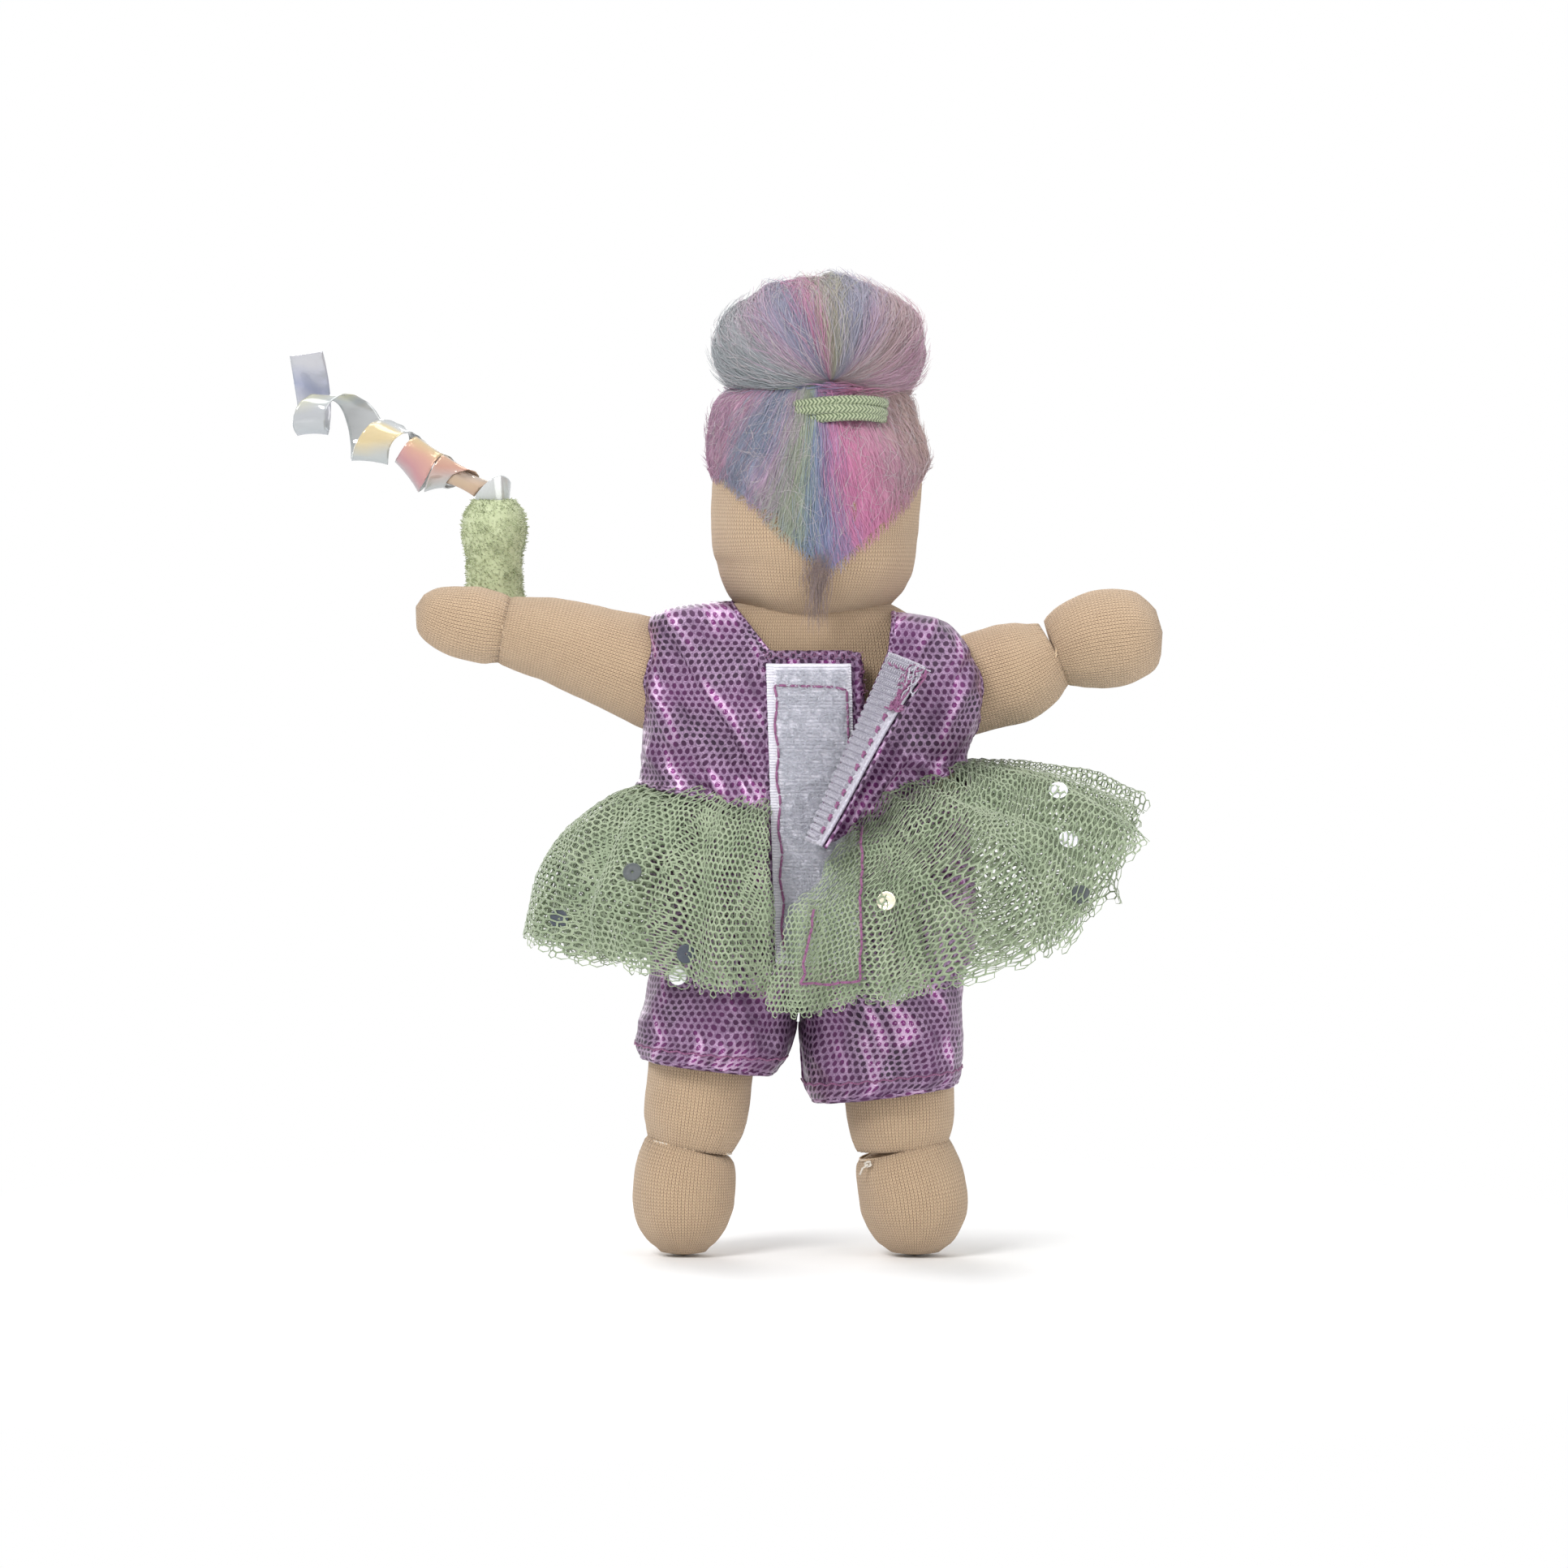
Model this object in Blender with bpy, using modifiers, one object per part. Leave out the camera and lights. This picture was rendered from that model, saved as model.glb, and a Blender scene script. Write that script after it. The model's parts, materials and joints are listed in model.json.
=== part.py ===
"""A pocket bendy doll in a foil playsuit and tulle skirt, seen from behind, holding a party popper.

Metres, +Z up. The doll faces -Y, so its left side is +X. The origin is on the floor, under the
middle of the doll's whole box.
"""

import math

import bmesh
import bpy
from mathutils import Matrix, Vector
from mathutils.bvhtree import BVHTree

MM = 0.001
DEG = math.pi / 180

# General sizes
GAP = 0.3 * MM  # between pieces that touch
CLOTH = 0.6 * MM  # playsuit fabric
NET = 0.5 * MM  # one layer of tulle with its thickness of folds
THREAD = 0.6 * MM  # sewing and binding thread, diameter
WIRE = 1.2 * MM  # armature wire, diameter
CUT = 60 * MM  # cutters run this far past the doll
SOLE_CUT = 0.5 * MM  # depth of the flat under each foot

# Torso
TORSO_HALF_WIDTH = 18.0 * MM
TORSO_HALF_DEPTH = 9.0 * MM
TORSO_BOTTOM = 33.5 * MM
TORSO_TOP = 79.8 * MM
SPINE_REACH = 28 * MM  # of wire below the neck

# Head and neck
NECK_PIVOT = 79.5 * MM
NECK_RADIUS = 5.6 * MM
NECK_STEM = 5.2 * MM  # from the pivot down into the torso
HEAD_RADIUS = 13.2 * MM
HEAD_TOP = 105.2 * MM
NOD = 12 * DEG
TURN = 50 * DEG
EYE_RADIUS = 0.95 * MM
EYE_SPACING = 9.0 * MM
EYE_HEIGHT = 93.5 * MM
MOUTH_WIDTH = 4.6 * MM
MOUTH_HEIGHT = 88.4 * MM
MOUTH_SMILE = 0.8 * MM
MOUTH_THREAD = 0.5 * MM

# Hair
HAIR_THICKNESS = 0.9 * MM
HAIRLINE_SIDE = 98.2 * MM
HAIRLINE_FRONT = 101.5 * MM
HAIR_TIP = 87.3 * MM
HAIR_TIP_X = -1.6 * MM
BUN_CENTRE_X = -1.2 * MM
BUN_RADIUS = 14.2 * MM
BUN_HALF_DEPTH = 12.2 * MM
BUN_BOTTOM = 108.4 * MM
BUN_TOP = 124.6 * MM
TIE_CENTRE_X = -3.0 * MM
TIE_CENTRE_Y = 7.2 * MM
TIE_SINK = 0.2 * MM  # from the bun's underside down to the elastic's middle
TIE_HEIGHT = BUN_BOTTOM - TIE_SINK
TIE_RADIUS = 5.1 * MM
TIE_CORD = 1.1 * MM  # half the thickness of the doubled elastic
TIE_TALL = 1.55  # how much taller than thick the doubled elastic is
WISP_LENGTH = 3.6 * MM
WISP_RADIUS = 0.8 * MM

# Arms: place of each shoulder's centre, then along the arm
ARM_BALL = 6.5 * MM
LIFT = 40 * DEG
LOWER = 30 * DEG
ELBOW_BEND = 70 * DEG
WRIST_BEND = 13 * DEG
LEFT_ARM = {
    "side": 1,
    "x": 14.5 * MM,
    "z": 72.5 * MM,
    "tilt": 17.3 * DEG,
    "upper": 13.5 * MM,
    "fore": 12.1 * MM,
    "root": 6.7 * MM,
    "elbow": 5.9 * MM,
    "wrist": 3.8 * MM,
    "hand": 4.5 * MM,
    "hand_length": 11.6 * MM,
    "hand_tilt": 7 * DEG,
}
RIGHT_ARM = {
    "side": -1,
    "x": 14.0 * MM,
    "z": 70.6 * MM,
    "tilt": 20 * DEG,
    "upper": 10.4 * MM,
    "fore": 7.6 * MM,
    "root": 6.3 * MM,
    "elbow": 6.2 * MM,
    "wrist": 4.0 * MM,
    "hand": 6.1 * MM,
    "hand_length": 14.2 * MM,
    "hand_tilt": -8 * DEG,
}

# Legs: place of each hip's centre, then down the leg
THIGH_SWELL = 1.02  # middle of the thigh against its hip
KNEE_HEIGHT = 19.5 * MM
ANKLE_HEIGHT = 13.8 * MM
HIP_FORWARD = 80 * DEG
HIP_BACK = 30 * DEG
KNEE_BEND = 70 * DEG
ANKLE_BEND = 15 * DEG
LEFT_LEG = {
    "side": 1,
    "x": 12.2 * MM,
    "z": 38 * MM,
    "tilt": 7.8 * DEG,
    "radius": 6.5 * MM,
    "ankle": 4.8 * MM,
    "foot": 6.5 * MM,
    "foot_tilt": 2 * DEG,
    "hem": 8.4 * MM,
    "hem_in": 0.6 * MM,
    "hem_height": 23.2 * MM,
}
RIGHT_LEG = {
    "side": -1,
    "x": 10.5 * MM,
    "z": 38 * MM,
    "tilt": 2.6 * DEG,
    "radius": 6.8 * MM,
    "ankle": 5.1 * MM,
    "foot": 6.95 * MM,
    "foot_tilt": 7 * DEG,
    "hem": 9.3 * MM,
    "hem_in": 1.2 * MM,
    "hem_height": 20.4 * MM,
}

# Playsuit
SUIT_HALF_WIDTH = 19.3 * MM  # inside
SUIT_HALF_DEPTH = 9.5 * MM  # inside
SUIT_ROUND = 3.0  # exponent of the rounded box that the suit is in plan
SUIT_TOP = 81.6 * MM
WAIST_HEIGHT = 57.0 * MM
SEAT_BOTTOM = 30.5 * MM
LEG_TOP_DROP = 2.2 * MM  # from the hip's centre down to the top of each shorts leg
LEG_WIDE_DROP = 7.6 * MM  # and to where it has its full width
ARMHOLE_EASE = 0.7 * MM
NECK_HALF_WIDTH = 10.4 * MM
NECKLINE = 76.6 * MM
FRONT_NECKLINE = 75.5 * MM
PLACKET_EDGE_X = -5.9 * MM
LEFT_NECK_X = 5.3 * MM

# Hook-and-loop closure
TAPE_LEFT_X = 5.8 * MM
TAPE_RIGHT_X = -4.9 * MM
TAPE_TOP = 75.3 * MM
TAPE_BOTTOM = 38.2 * MM
TAPE_DRIFT = 1.2 * MM  # the tape's foot lies this far to the right of its head
TAPE_THICKNESS = 1.0 * MM
TAPE_FACE = SUIT_HALF_DEPTH + CLOTH + GAP + TAPE_THICKNESS
FLAP_PANEL_HALF_DEPTH = TAPE_FACE + GAP + THREAD + 2 * GAP
STITCH_INSET = 0.9 * MM
STITCH_STEP = 2.2 * MM  # between the points of a thread laid over the folds
FLAP_TOP_X = -9.7 * MM
FLAP_TOP = 76.9 * MM
FLAP_FOOT_X = 0.3 * MM
FLAP_FOOT = 53.6 * MM
FLAP_WIDTH = 7.6 * MM
HOOK_THICKNESS = 0.9 * MM
FLAP_REST = 108 * DEG  # from lying closed
FLAP_CLOSE = 95 * DEG
FLAP_OPEN = 20 * DEG

# Tulle skirt
LAYER_STEP = 0.85 * MM
SKIRT_OVER = CLOTH + GAP + NET + LAYER_STEP
SKIRT_WIDTH = SUIT_HALF_WIDTH + SKIRT_OVER  # half width at the gathered top, outer layer
SKIRT_DEPTH = SUIT_HALF_DEPTH + SKIRT_OVER
SKIRT_FLAP_DEPTH = FLAP_PANEL_HALF_DEPTH + SKIRT_OVER
LAYER_DROOP = 7  # degrees more that the inner layer hangs down
SKIRT_FOLDS = 15
FOLD_DEPTH = 1.3 * MM
SKIRT_LENGTH = 26.5 * MM
SKIRT_WAIST = 58.8 * MM
WAIST_RISE = 4.4 * MM  # of the right side, where the tulle is thrown up
GATHER_FALL = 0.04  # share of the way to the hem where the gathering thread runs
SEQUIN_RADIUS = 1.2 * MM
SEQUIN_THICKNESS = 0.3 * MM

# Party popper in the left hand
POPPER_X = 40.7 * MM
POPPER_TOP = 95.4 * MM
POPPER_BOTTOM = 79.4 * MM
POPPER_RADIUS = 3.9 * MM
POPPER_BORE = 2.6 * MM
COLLAR_RADIUS = 2.3 * MM
COLLAR_WALL = 0.4 * MM
COLLAR_TOP = 97.9 * MM
COLLAR_SLANT = 35 * DEG  # of the mouth, which turns to the streamer
COLLAR_DEPTH = 6 * MM
RIBBON_WIDTH = 4.25 * MM
RIBBON_THICKNESS = 0.35 * MM
RIBBON_TAIL = 6.0 * MM
RIBBON_TUCK = 0.55  # share of the ribbon's width where it is squeezed into the collar
RIBBON_STEPS = 3  # between two rows of the streamer's table

collection = bpy.data.collections.new("bendy_doll")
cutters = bpy.data.collections.new("cutters")


def clear_scene():
    for old in list(bpy.data.objects):
        bpy.data.objects.remove(old, do_unlink=True)
    bpy.context.scene.collection.children.link(collection)
    bpy.context.scene.collection.children.link(cutters)


def material(name, colour, roughness, metallic=0.0):
    made = bpy.data.materials.new(name)
    made.use_nodes = True
    shader = made.node_tree.nodes["Principled BSDF"]
    shader.inputs["Base Color"].default_value = (*colour, 1)
    shader.inputs["Roughness"].default_value = roughness
    shader.inputs["Metallic"].default_value = metallic
    made.diffuse_color = (*colour, 1)
    return made


COLOURS = {
    "skin": ((0.67, 0.45, 0.27), 0.9, 0),
    "foil": ((0.38, 0.24, 0.46), 0.4, 0.2),
    "tulle": ((0.30, 0.42, 0.26), 0.8, 0),
    "tape": ((0.58, 0.59, 0.66), 0.85, 0),
    "mauve": ((0.30, 0.11, 0.23), 0.8, 0),
    "hair": ((0.30, 0.32, 0.48), 0.95, 0),
    "elastic": ((0.26, 0.40, 0.19), 0.7, 0),
    "plush": ((0.46, 0.60, 0.33), 0.95, 0),
    "film": ((0.78, 0.80, 0.84), 0.1, 0.1),
    "steel": ((0.6, 0.6, 0.6), 0.35, 1),
    "white": ((0.85, 0.85, 0.82), 0.7, 0),
    "bead": ((0.03, 0.02, 0.02), 0.2, 0),
}


def finish(made, colour, parent=None, home=collection):
    """Gives an object its own material, its collection and its parent."""
    tint, roughness, metallic = COLOURS[colour]
    made.data.materials.clear()
    made.data.materials.append(material(made.name, tint, roughness, metallic))
    home.objects.link(made)
    if home is cutters:
        made.hide_render = True
        made.display_type = "WIRE"
    if parent:
        made.parent = parent
    return made


def empty(name, place, turn=(0, 0, 0), parent=None):
    made = bpy.data.objects.new(name, None)
    made.location = place
    made.rotation_euler = turn
    made.parent = parent
    collection.objects.link(made)
    return made


def arc(radius, start, end, count, height=0.0):
    """Points of a circle about the axis, from one elevation angle to another."""
    steps = [start + (end - start) * i / count for i in range(count + 1)]
    pole = 1e-6  # a radius share under this is on the axis
    across = [math.cos(a) if math.cos(a) > pole else 0 for a in steps]
    return [(radius * x, height + radius * math.sin(a)) for x, a in zip(across, steps)]


def turned(name, profile, colour, steps=16, parent=None, home=collection):
    """A turned solid: its profile runs from the top down the outer side, as (radius, height)."""
    mesh = bpy.data.meshes.new(name)
    points = [(r, 0, z) for r, z in profile]
    edges = [(i, i + 1) for i in range(len(points) - 1)]
    if profile[0][0] > 0:
        edges.append((len(points) - 1, 0))
    mesh.from_pydata(points, edges, [])
    made = bpy.data.objects.new(name, mesh)
    screw = made.modifiers.new("turn", "SCREW")
    screw.steps = steps
    screw.render_steps = steps
    screw.use_merge_vertices = True
    screw.merge_threshold = 0.01 * MM
    screw.use_smooth_shade = True
    return finish(made, colour, parent, home)


def fixed_mesh(made):
    """Turns an object's modifiers into its mesh, so that it can be warped."""
    bpy.context.view_layer.update()
    graph = bpy.context.evaluated_depsgraph_get()
    mesh = bpy.data.meshes.new_from_object(made.evaluated_get(graph))
    old = made.data
    made.modifiers.clear()
    made.data = mesh
    bpy.data.meshes.remove(old)
    return made


def rounded(angle, half_width, half_depth, power):
    """Distance from the middle of a rounded box, seen from above, to its side at an angle."""
    x = abs(math.sin(angle)) / half_width
    y = abs(math.cos(angle)) / half_depth
    return (x**power + y**power) ** (-1 / power)


def warp_plan(made, half_width, half_depth, power):
    """Gives a solid turned at radius 1 its width and depth, as a rounded box in plan."""
    fixed_mesh(made)
    for vertex in made.data.vertices:
        x, y, z = vertex.co
        share = math.hypot(x, y)
        if share > 0:
            angle = math.atan2(x, y)
            reach = share * rounded(angle, half_width, half_depth, power)
            vertex.co = (reach * math.sin(angle), reach * math.cos(angle), z)
    return made


def shell(name, shares, bottom, top, half_width, half_depth, wall, colour, parent=None, steps=32):
    """A fabric shell: an open turned surface in a rounded plan, thickened outwards."""
    profile = [(r, bottom + (top - bottom) * h) for r, h in shares]
    mesh = bpy.data.meshes.new(name)
    mesh.from_pydata([(r, 0, z) for r, z in profile], [(i, i + 1) for i in range(len(profile) - 1)], [])
    made = bpy.data.objects.new(name, mesh)
    screw = made.modifiers.new("turn", "SCREW")
    screw.steps = steps
    screw.render_steps = steps
    screw.use_merge_vertices = True
    screw.merge_threshold = 0.01 * MM
    screw.use_smooth_shade = True
    finish(made, colour, parent)
    warp_plan(made, half_width, half_depth, SUIT_ROUND)
    thick = made.modifiers.new("wall", "SOLIDIFY")
    thick.thickness = wall
    thick.offset = 1
    return made


def rod(name, radius, top, bottom, colour, parent, at=(0, 0), steps=8):
    """A straight round rod along its parent's Z."""
    made = turned(name, [(0, top), (radius, top), (radius, bottom), (0, bottom)], colour, steps, parent)
    made.location = (*at, 0)
    return made


def ring(name, radius, thickness, colour, parent, height=0.0, steps=24, sides=6, tall=1.0, home=collection):
    """A closed ring round its parent's Z."""
    turn = [-2 * math.pi * i / sides for i in range(sides)]
    half = thickness / 2
    profile = [(radius + half * math.cos(a), height + tall * half * math.sin(a)) for a in turn]
    return turned(name, profile, colour, steps, parent, home)


def prism(name, outline, low, high, parent=None):
    """A cutter: an outline in X and Z, from one Y to another."""
    mesh = bpy.data.meshes.new(name)
    shape = bmesh.new()
    face = shape.faces.new([shape.verts.new((x, low, z)) for x, z in outline])
    pushed = bmesh.ops.extrude_face_region(shape, geom=[face])["geom"]
    moved = [v for v in pushed if isinstance(v, bmesh.types.BMVert)]
    bmesh.ops.translate(shape, verts=moved, vec=(0, high - low, 0))
    bmesh.ops.recalc_face_normals(shape, faces=shape.faces)
    shape.to_mesh(mesh)
    shape.free()
    return finish(bpy.data.objects.new(name, mesh), "white", parent, cutters)


def cut(made, tool, how="DIFFERENCE"):
    joint = made.modifiers.new(how.lower(), "BOOLEAN")
    joint.operation = how
    joint.solver = "EXACT"
    joint.object = tool
    return made


def tube(name, points, radius, colour, parent=None, radii=None, resolution=1):
    """A thread or tuft along its points, as a closed mesh."""
    curve = bpy.data.curves.new(name, "CURVE")
    curve.dimensions = "3D"
    curve.bevel_depth = radius
    curve.bevel_resolution = resolution
    curve.use_fill_caps = True
    line = curve.splines.new("POLY")
    line.points.add(len(points) - 1)
    for i, (spot, place) in enumerate(zip(line.points, points)):
        spot.co = (*place, 1)
        spot.radius = radii[i] if radii else 1
    made = bpy.data.objects.new(name, curve)
    collection.objects.link(made)
    bpy.context.view_layer.update()
    graph = bpy.context.evaluated_depsgraph_get()
    mesh = bpy.data.meshes.new_from_object(made.evaluated_get(graph))
    bpy.data.objects.remove(made)
    shape = bmesh.new()
    shape.from_mesh(mesh)
    bmesh.ops.remove_doubles(shape, verts=shape.verts, dist=0.001 * MM)
    shape.to_mesh(mesh)
    shape.free()
    mesh.shade_smooth()
    return finish(bpy.data.objects.new(name, mesh), colour, parent)


def rim_angle(bend, ball):
    """How far from a tied crease's plane the next form starts, so that it clears the thread."""
    around = ball + GAP + THREAD / 2
    return bend + math.asin(THREAD / 2 / around) + math.asin(GAP / around)


# Head, neck and hair

HEAD_SHARES = [
    (0.34, 0.985),
    (0.65, 0.91),
    (0.87, 0.79),
    (0.97, 0.64),
    (1.0, 0.48),
    (0.985, 0.33),
    (0.92, 0.19),
    (0.79, 0.08),
]


def head_height(share):
    foot = NECK_PIVOT + HEAD_RADIUS * math.tan(NOD / 2)
    return foot + (HEAD_TOP - foot) * share


def head_profile(extra=0.0):
    """The head's outer side, from the crown down to the jaw, grown by a margin."""
    side = [(HEAD_RADIUS * r + extra, head_height(h)) for r, h in HEAD_SHARES]
    return [(0, HEAD_TOP + extra)] + side


def head_radius_at(height):
    side = head_profile()
    for (r0, z0), (r1, z1) in zip(side, side[1:]):
        if z1 <= height <= z0:
            return r0 + (r1 - r0) * (z0 - height) / (z0 - z1)
    return side[-1][0]


def build_head(root):
    neck = empty("neck_turn_axis", (0, 0, NECK_PIVOT), parent=root)
    head = empty("neck_nod_axis", (0, 0, 0), parent=neck)
    bore = WIRE / 2 + GAP
    stem = arc(NECK_RADIUS, math.pi / 2, 0, 5) + [
        (NECK_RADIUS, -NECK_STEM),
        (bore, -NECK_STEM),
        (bore, NECK_RADIUS / 3),
        (0, NECK_RADIUS / 3),
    ]
    turned("neck", stem, "skin", 20, neck)
    rod("neck_wire", WIRE / 2, NECK_RADIUS / 3 - GAP, -NECK_STEM, "steel", neck)

    cup = NECK_RADIUS + GAP
    rim = NOD + 4 * DEG
    side = [(r, z - NECK_PIVOT) for r, z in head_profile()]
    profile = side + arc(cup, rim, math.pi / 2, 4)
    turned("head", profile, "skin", 24, head)

    build_hair(head)
    build_face(head)


# the hair over the crown, as shares of the head's radius and of the way up to the bun
CAP_SHARES = [(0.88, 1.0), (0.98, 0.84), (1.05, 0.6), (1.09, 0.3)]


def build_hair(head):
    inner = [(r, z - NECK_PIVOT) for r, z in head_profile(GAP)]
    top = BUN_BOTTOM - GAP - NECK_PIVOT
    low = HAIRLINE_SIDE - NECK_PIVOT
    outer = [(0, top)] + [(HEAD_RADIUS * r, low + (top - low) * h) for r, h in CAP_SHARES]
    over = GAP + HAIR_THICKNESS
    outer += [(HEAD_RADIUS * r + over, head_height(h) - NECK_PIVOT) for r, h in HEAD_SHARES[3:]]
    cap = turned("hair_cap", outer + inner[::-1], "hair", 24, head)
    wide = CUT
    v_shape = prism(
        "back_hairline",
        [
            (-wide, -wide),
            (wide, -wide),
            (wide, HAIRLINE_SIDE - NECK_PIVOT),
            (HEAD_RADIUS, HAIRLINE_SIDE - NECK_PIVOT),
            (HAIR_TIP_X, HAIR_TIP - NECK_PIVOT),
            (-HEAD_RADIUS, HAIRLINE_SIDE - NECK_PIVOT - HAIR_THICKNESS),
            (-wide, HAIRLINE_SIDE - NECK_PIVOT - HAIR_THICKNESS),
        ],
        0,
        wide,
        head,
    )
    front = prism(
        "front_hairline",
        [
            (-wide, -wide),
            (wide, -wide),
            (wide, HAIRLINE_SIDE - NECK_PIVOT),
            (HEAD_RADIUS / 2, HAIRLINE_FRONT - NECK_PIVOT),
            (-HEAD_RADIUS / 2, HAIRLINE_FRONT - NECK_PIVOT),
            (-wide, HAIRLINE_SIDE - NECK_PIVOT),
        ],
        -wide,
        GAP,
        head,
    )
    channel = ring(
        "tie_channel",
        TIE_RADIUS,
        2 * (TIE_CORD + GAP),
        "white",
        head,
        steps=20,
        tall=TIE_TALL,
        home=cutters,
    )
    tie = ring("hair_tie", TIE_RADIUS, 2 * TIE_CORD, "elastic", head, steps=20, sides=8, tall=TIE_TALL)
    for made in (channel, tie):
        made.location = (TIE_CENTRE_X, TIE_CENTRE_Y, TIE_HEIGHT - NECK_PIVOT)
    for tool in (v_shape, front, channel):
        cut(cap, tool)

    tall = BUN_TOP - BUN_BOTTOM
    shares = [(0.36, 0.985), (0.68, 0.87), (0.91, 0.63), (1.0, 0.36), (0.96, 0.14), (0.82, 0)]
    side = [(BUN_RADIUS * r, tall * h) for r, h in shares]
    bun = turned("hair_bun", [(0, tall)] + side + [(0, 0)], "hair", 24, head)
    bun.location = (BUN_CENTRE_X, 0, BUN_BOTTOM - NECK_PIVOT)
    bun.scale = (1, BUN_HALF_DEPTH / BUN_RADIUS, 1)
    cut(bun, channel)

    top = HAIR_TIP - GAP
    drop = [WISP_LENGTH * share for share in (0, 0.35, 0.7, 1)]
    points = []
    for fall in drop:
        out = head_radius_at(top - fall) + GAP + WISP_RADIUS
        points.append((HAIR_TIP_X * (1 - fall / WISP_LENGTH), out, top - fall - NECK_PIVOT))
    tube("nape_wisp", points, WISP_RADIUS, "hair", head, radii=[1, 0.8, 0.55, 0.35])


def build_face(head):
    for side, name in ((1, "left_eye"), (-1, "right_eye")):
        across = side * EYE_SPACING / 2
        flat = 0.5
        radius = head_radius_at(EYE_HEIGHT)
        out = math.sqrt(radius**2 - across**2) + GAP + EYE_RADIUS * flat
        eye = turned(name, arc(EYE_RADIUS, math.pi / 2, -math.pi / 2, 6), "bead", 12, head)
        eye.location = (across, -out, EYE_HEIGHT - NECK_PIVOT)
        eye.rotation_euler = (0, 0, side * math.asin(across * side / radius))
        eye.scale = (1, flat, 1)
    points = []
    for share in (-1, -0.6, -0.2, 0.2, 0.6, 1):
        x = share * MOUTH_WIDTH / 2
        z = MOUTH_HEIGHT + MOUTH_SMILE * (share**2 - 1)
        out = math.sqrt(head_radius_at(z) ** 2 - x**2) + GAP + MOUTH_THREAD / 2
        points.append((x, -out, z - NECK_PIVOT))
    tube("mouth_stitch", points, MOUTH_THREAD / 2, "mauve", head)


# Torso

TORSO_SHARES = [
    (0.42, 1.0),
    (0.62, 0.97),
    (0.80, 0.89),
    (0.93, 0.77),
    (1.0, 0.60),
    (1.0, 0.38),
    (0.96, 0.18),
    (0.82, 0.05),
    (0.55, 0.0),
]


def build_torso(root):
    tall = TORSO_TOP - TORSO_BOTTOM
    profile = [(0, TORSO_TOP)] + [(r, TORSO_BOTTOM + tall * h) for r, h in TORSO_SHARES]
    torso = turned("torso", profile + [(0, TORSO_BOTTOM)], "skin", 32, root)
    warp_plan(torso, TORSO_HALF_WIDTH, TORSO_HALF_DEPTH, 2.3)
    for arm in (LEFT_ARM, RIGHT_ARM):
        cut(torso, arm_clearance(arm, root))
    for leg in (LEFT_LEG, RIGHT_LEG):
        cut(torso, leg_clearance(leg, root))
    seat = NECK_RADIUS + GAP
    floor = NECK_PIVOT - NECK_STEM - GAP
    bore = WIRE / 2 + GAP
    hole = [(0, TORSO_TOP + seat), (seat, TORSO_TOP + seat), (seat, floor), (bore, floor)]
    hole += [(bore, floor - SPINE_REACH), (0, floor - SPINE_REACH)]
    cut(torso, turned("neck_hole", hole, "white", 24, root, cutters))
    rod("spine_wire", WIRE / 2, floor - GAP, floor - SPINE_REACH + GAP, "steel", root)
    build_nape_stitch(root)


def build_nape_stitch(root):
    """The thread that gathers the jersey at the back of the neck."""
    points = []
    for share in (0, 0.35, 0.7, 1):
        z = NECKLINE + GAP + THREAD + (TORSO_TOP - NECKLINE) * 0.55 * share
        reach = max(TORSO_HALF_DEPTH * torso_share_at(z), NECK_RADIUS)
        points.append((0, reach + GAP + THREAD / 2, z))
    tube("nape_stitch", points, THREAD / 2, "mauve", root)


def torso_share_at(height):
    share = (height - TORSO_BOTTOM) / (TORSO_TOP - TORSO_BOTTOM)
    for (r0, h0), (r1, h1) in zip(TORSO_SHARES, TORSO_SHARES[1:]):
        if h1 <= share <= h0:
            return r0 + (r1 - r0) * (h0 - share) / (h0 - h1)
    return 1.0


def fan(centre, ball, tube, reach, low, high):
    """Outline that a limb sweeps: a ball at its joint and its tube turned between two angles.

    The tube is rows of (distance from the joint, radius), the nearest row first.
    """
    def at(angle, distance):
        return Vector((math.cos(angle), math.sin(angle))) * distance

    square = math.pi / 2
    widest = tube[-1][1]
    points = [
        at(low, reach) + at(low - square, widest),
        at(high, reach) + at(high + square, widest),
    ]
    points += [at(high, far) + at(high + square, radius) for far, radius in tube[::-1]]
    start = high + square
    turn = low - square + 2 * math.pi - start
    count = 7
    points += [at(start + turn * i / count, ball) for i in range(count + 1)]
    points += [at(low, far) + at(low - square, radius) for far, radius in tube]
    return [Vector(centre) + point for point in points]


def arm_clearance(arm, root):
    side = arm["side"]
    name = "left_arm_way" if side > 0 else "right_arm_way"
    low = arm["tilt"] - LOWER
    high = arm["tilt"] + LIFT
    centre = (arm["x"], arm["z"])
    tube = [(ARM_BALL, arm["root"] + GAP)]
    outline = fan(centre, ARM_BALL + GAP, tube, CUT, low, high)
    outline = [(side * x, z) for x, z in outline]
    return prism(name, outline, -CUT, CUT, root)


def leg_tube(leg, extra):
    """The shorts leg's outer side as (distance below the hip, radius), grown by a margin."""
    top = leg["radius"] * THIGH_SWELL + leg["hem_in"] + GAP + CLOTH
    return [(LEG_TOP_DROP - extra, top + extra), (LEG_WIDE_DROP - extra, leg["hem"] + CLOTH + extra)]


def leg_clearance(leg, root):
    """The leg swings in the plane of Y and Z, so the outline's X is turned to lie along Y."""
    side = leg["side"]
    name = "left_leg_way" if side > 0 else "right_leg_way"
    tube = leg_tube(leg, GAP)
    wide = tube[-1][1]
    low = -math.pi / 2 - HIP_FORWARD
    high = -math.pi / 2 + HIP_BACK
    outline = fan((0, leg["z"]), leg["radius"] + GAP, tube, CUT, low, high)
    across = side * (leg["x"] - leg["hem_in"])
    way = prism(name, outline, -across - wide, -across + wide, root)
    way.rotation_euler = (0, 0, math.pi / 2)
    return way


# Arms


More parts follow.
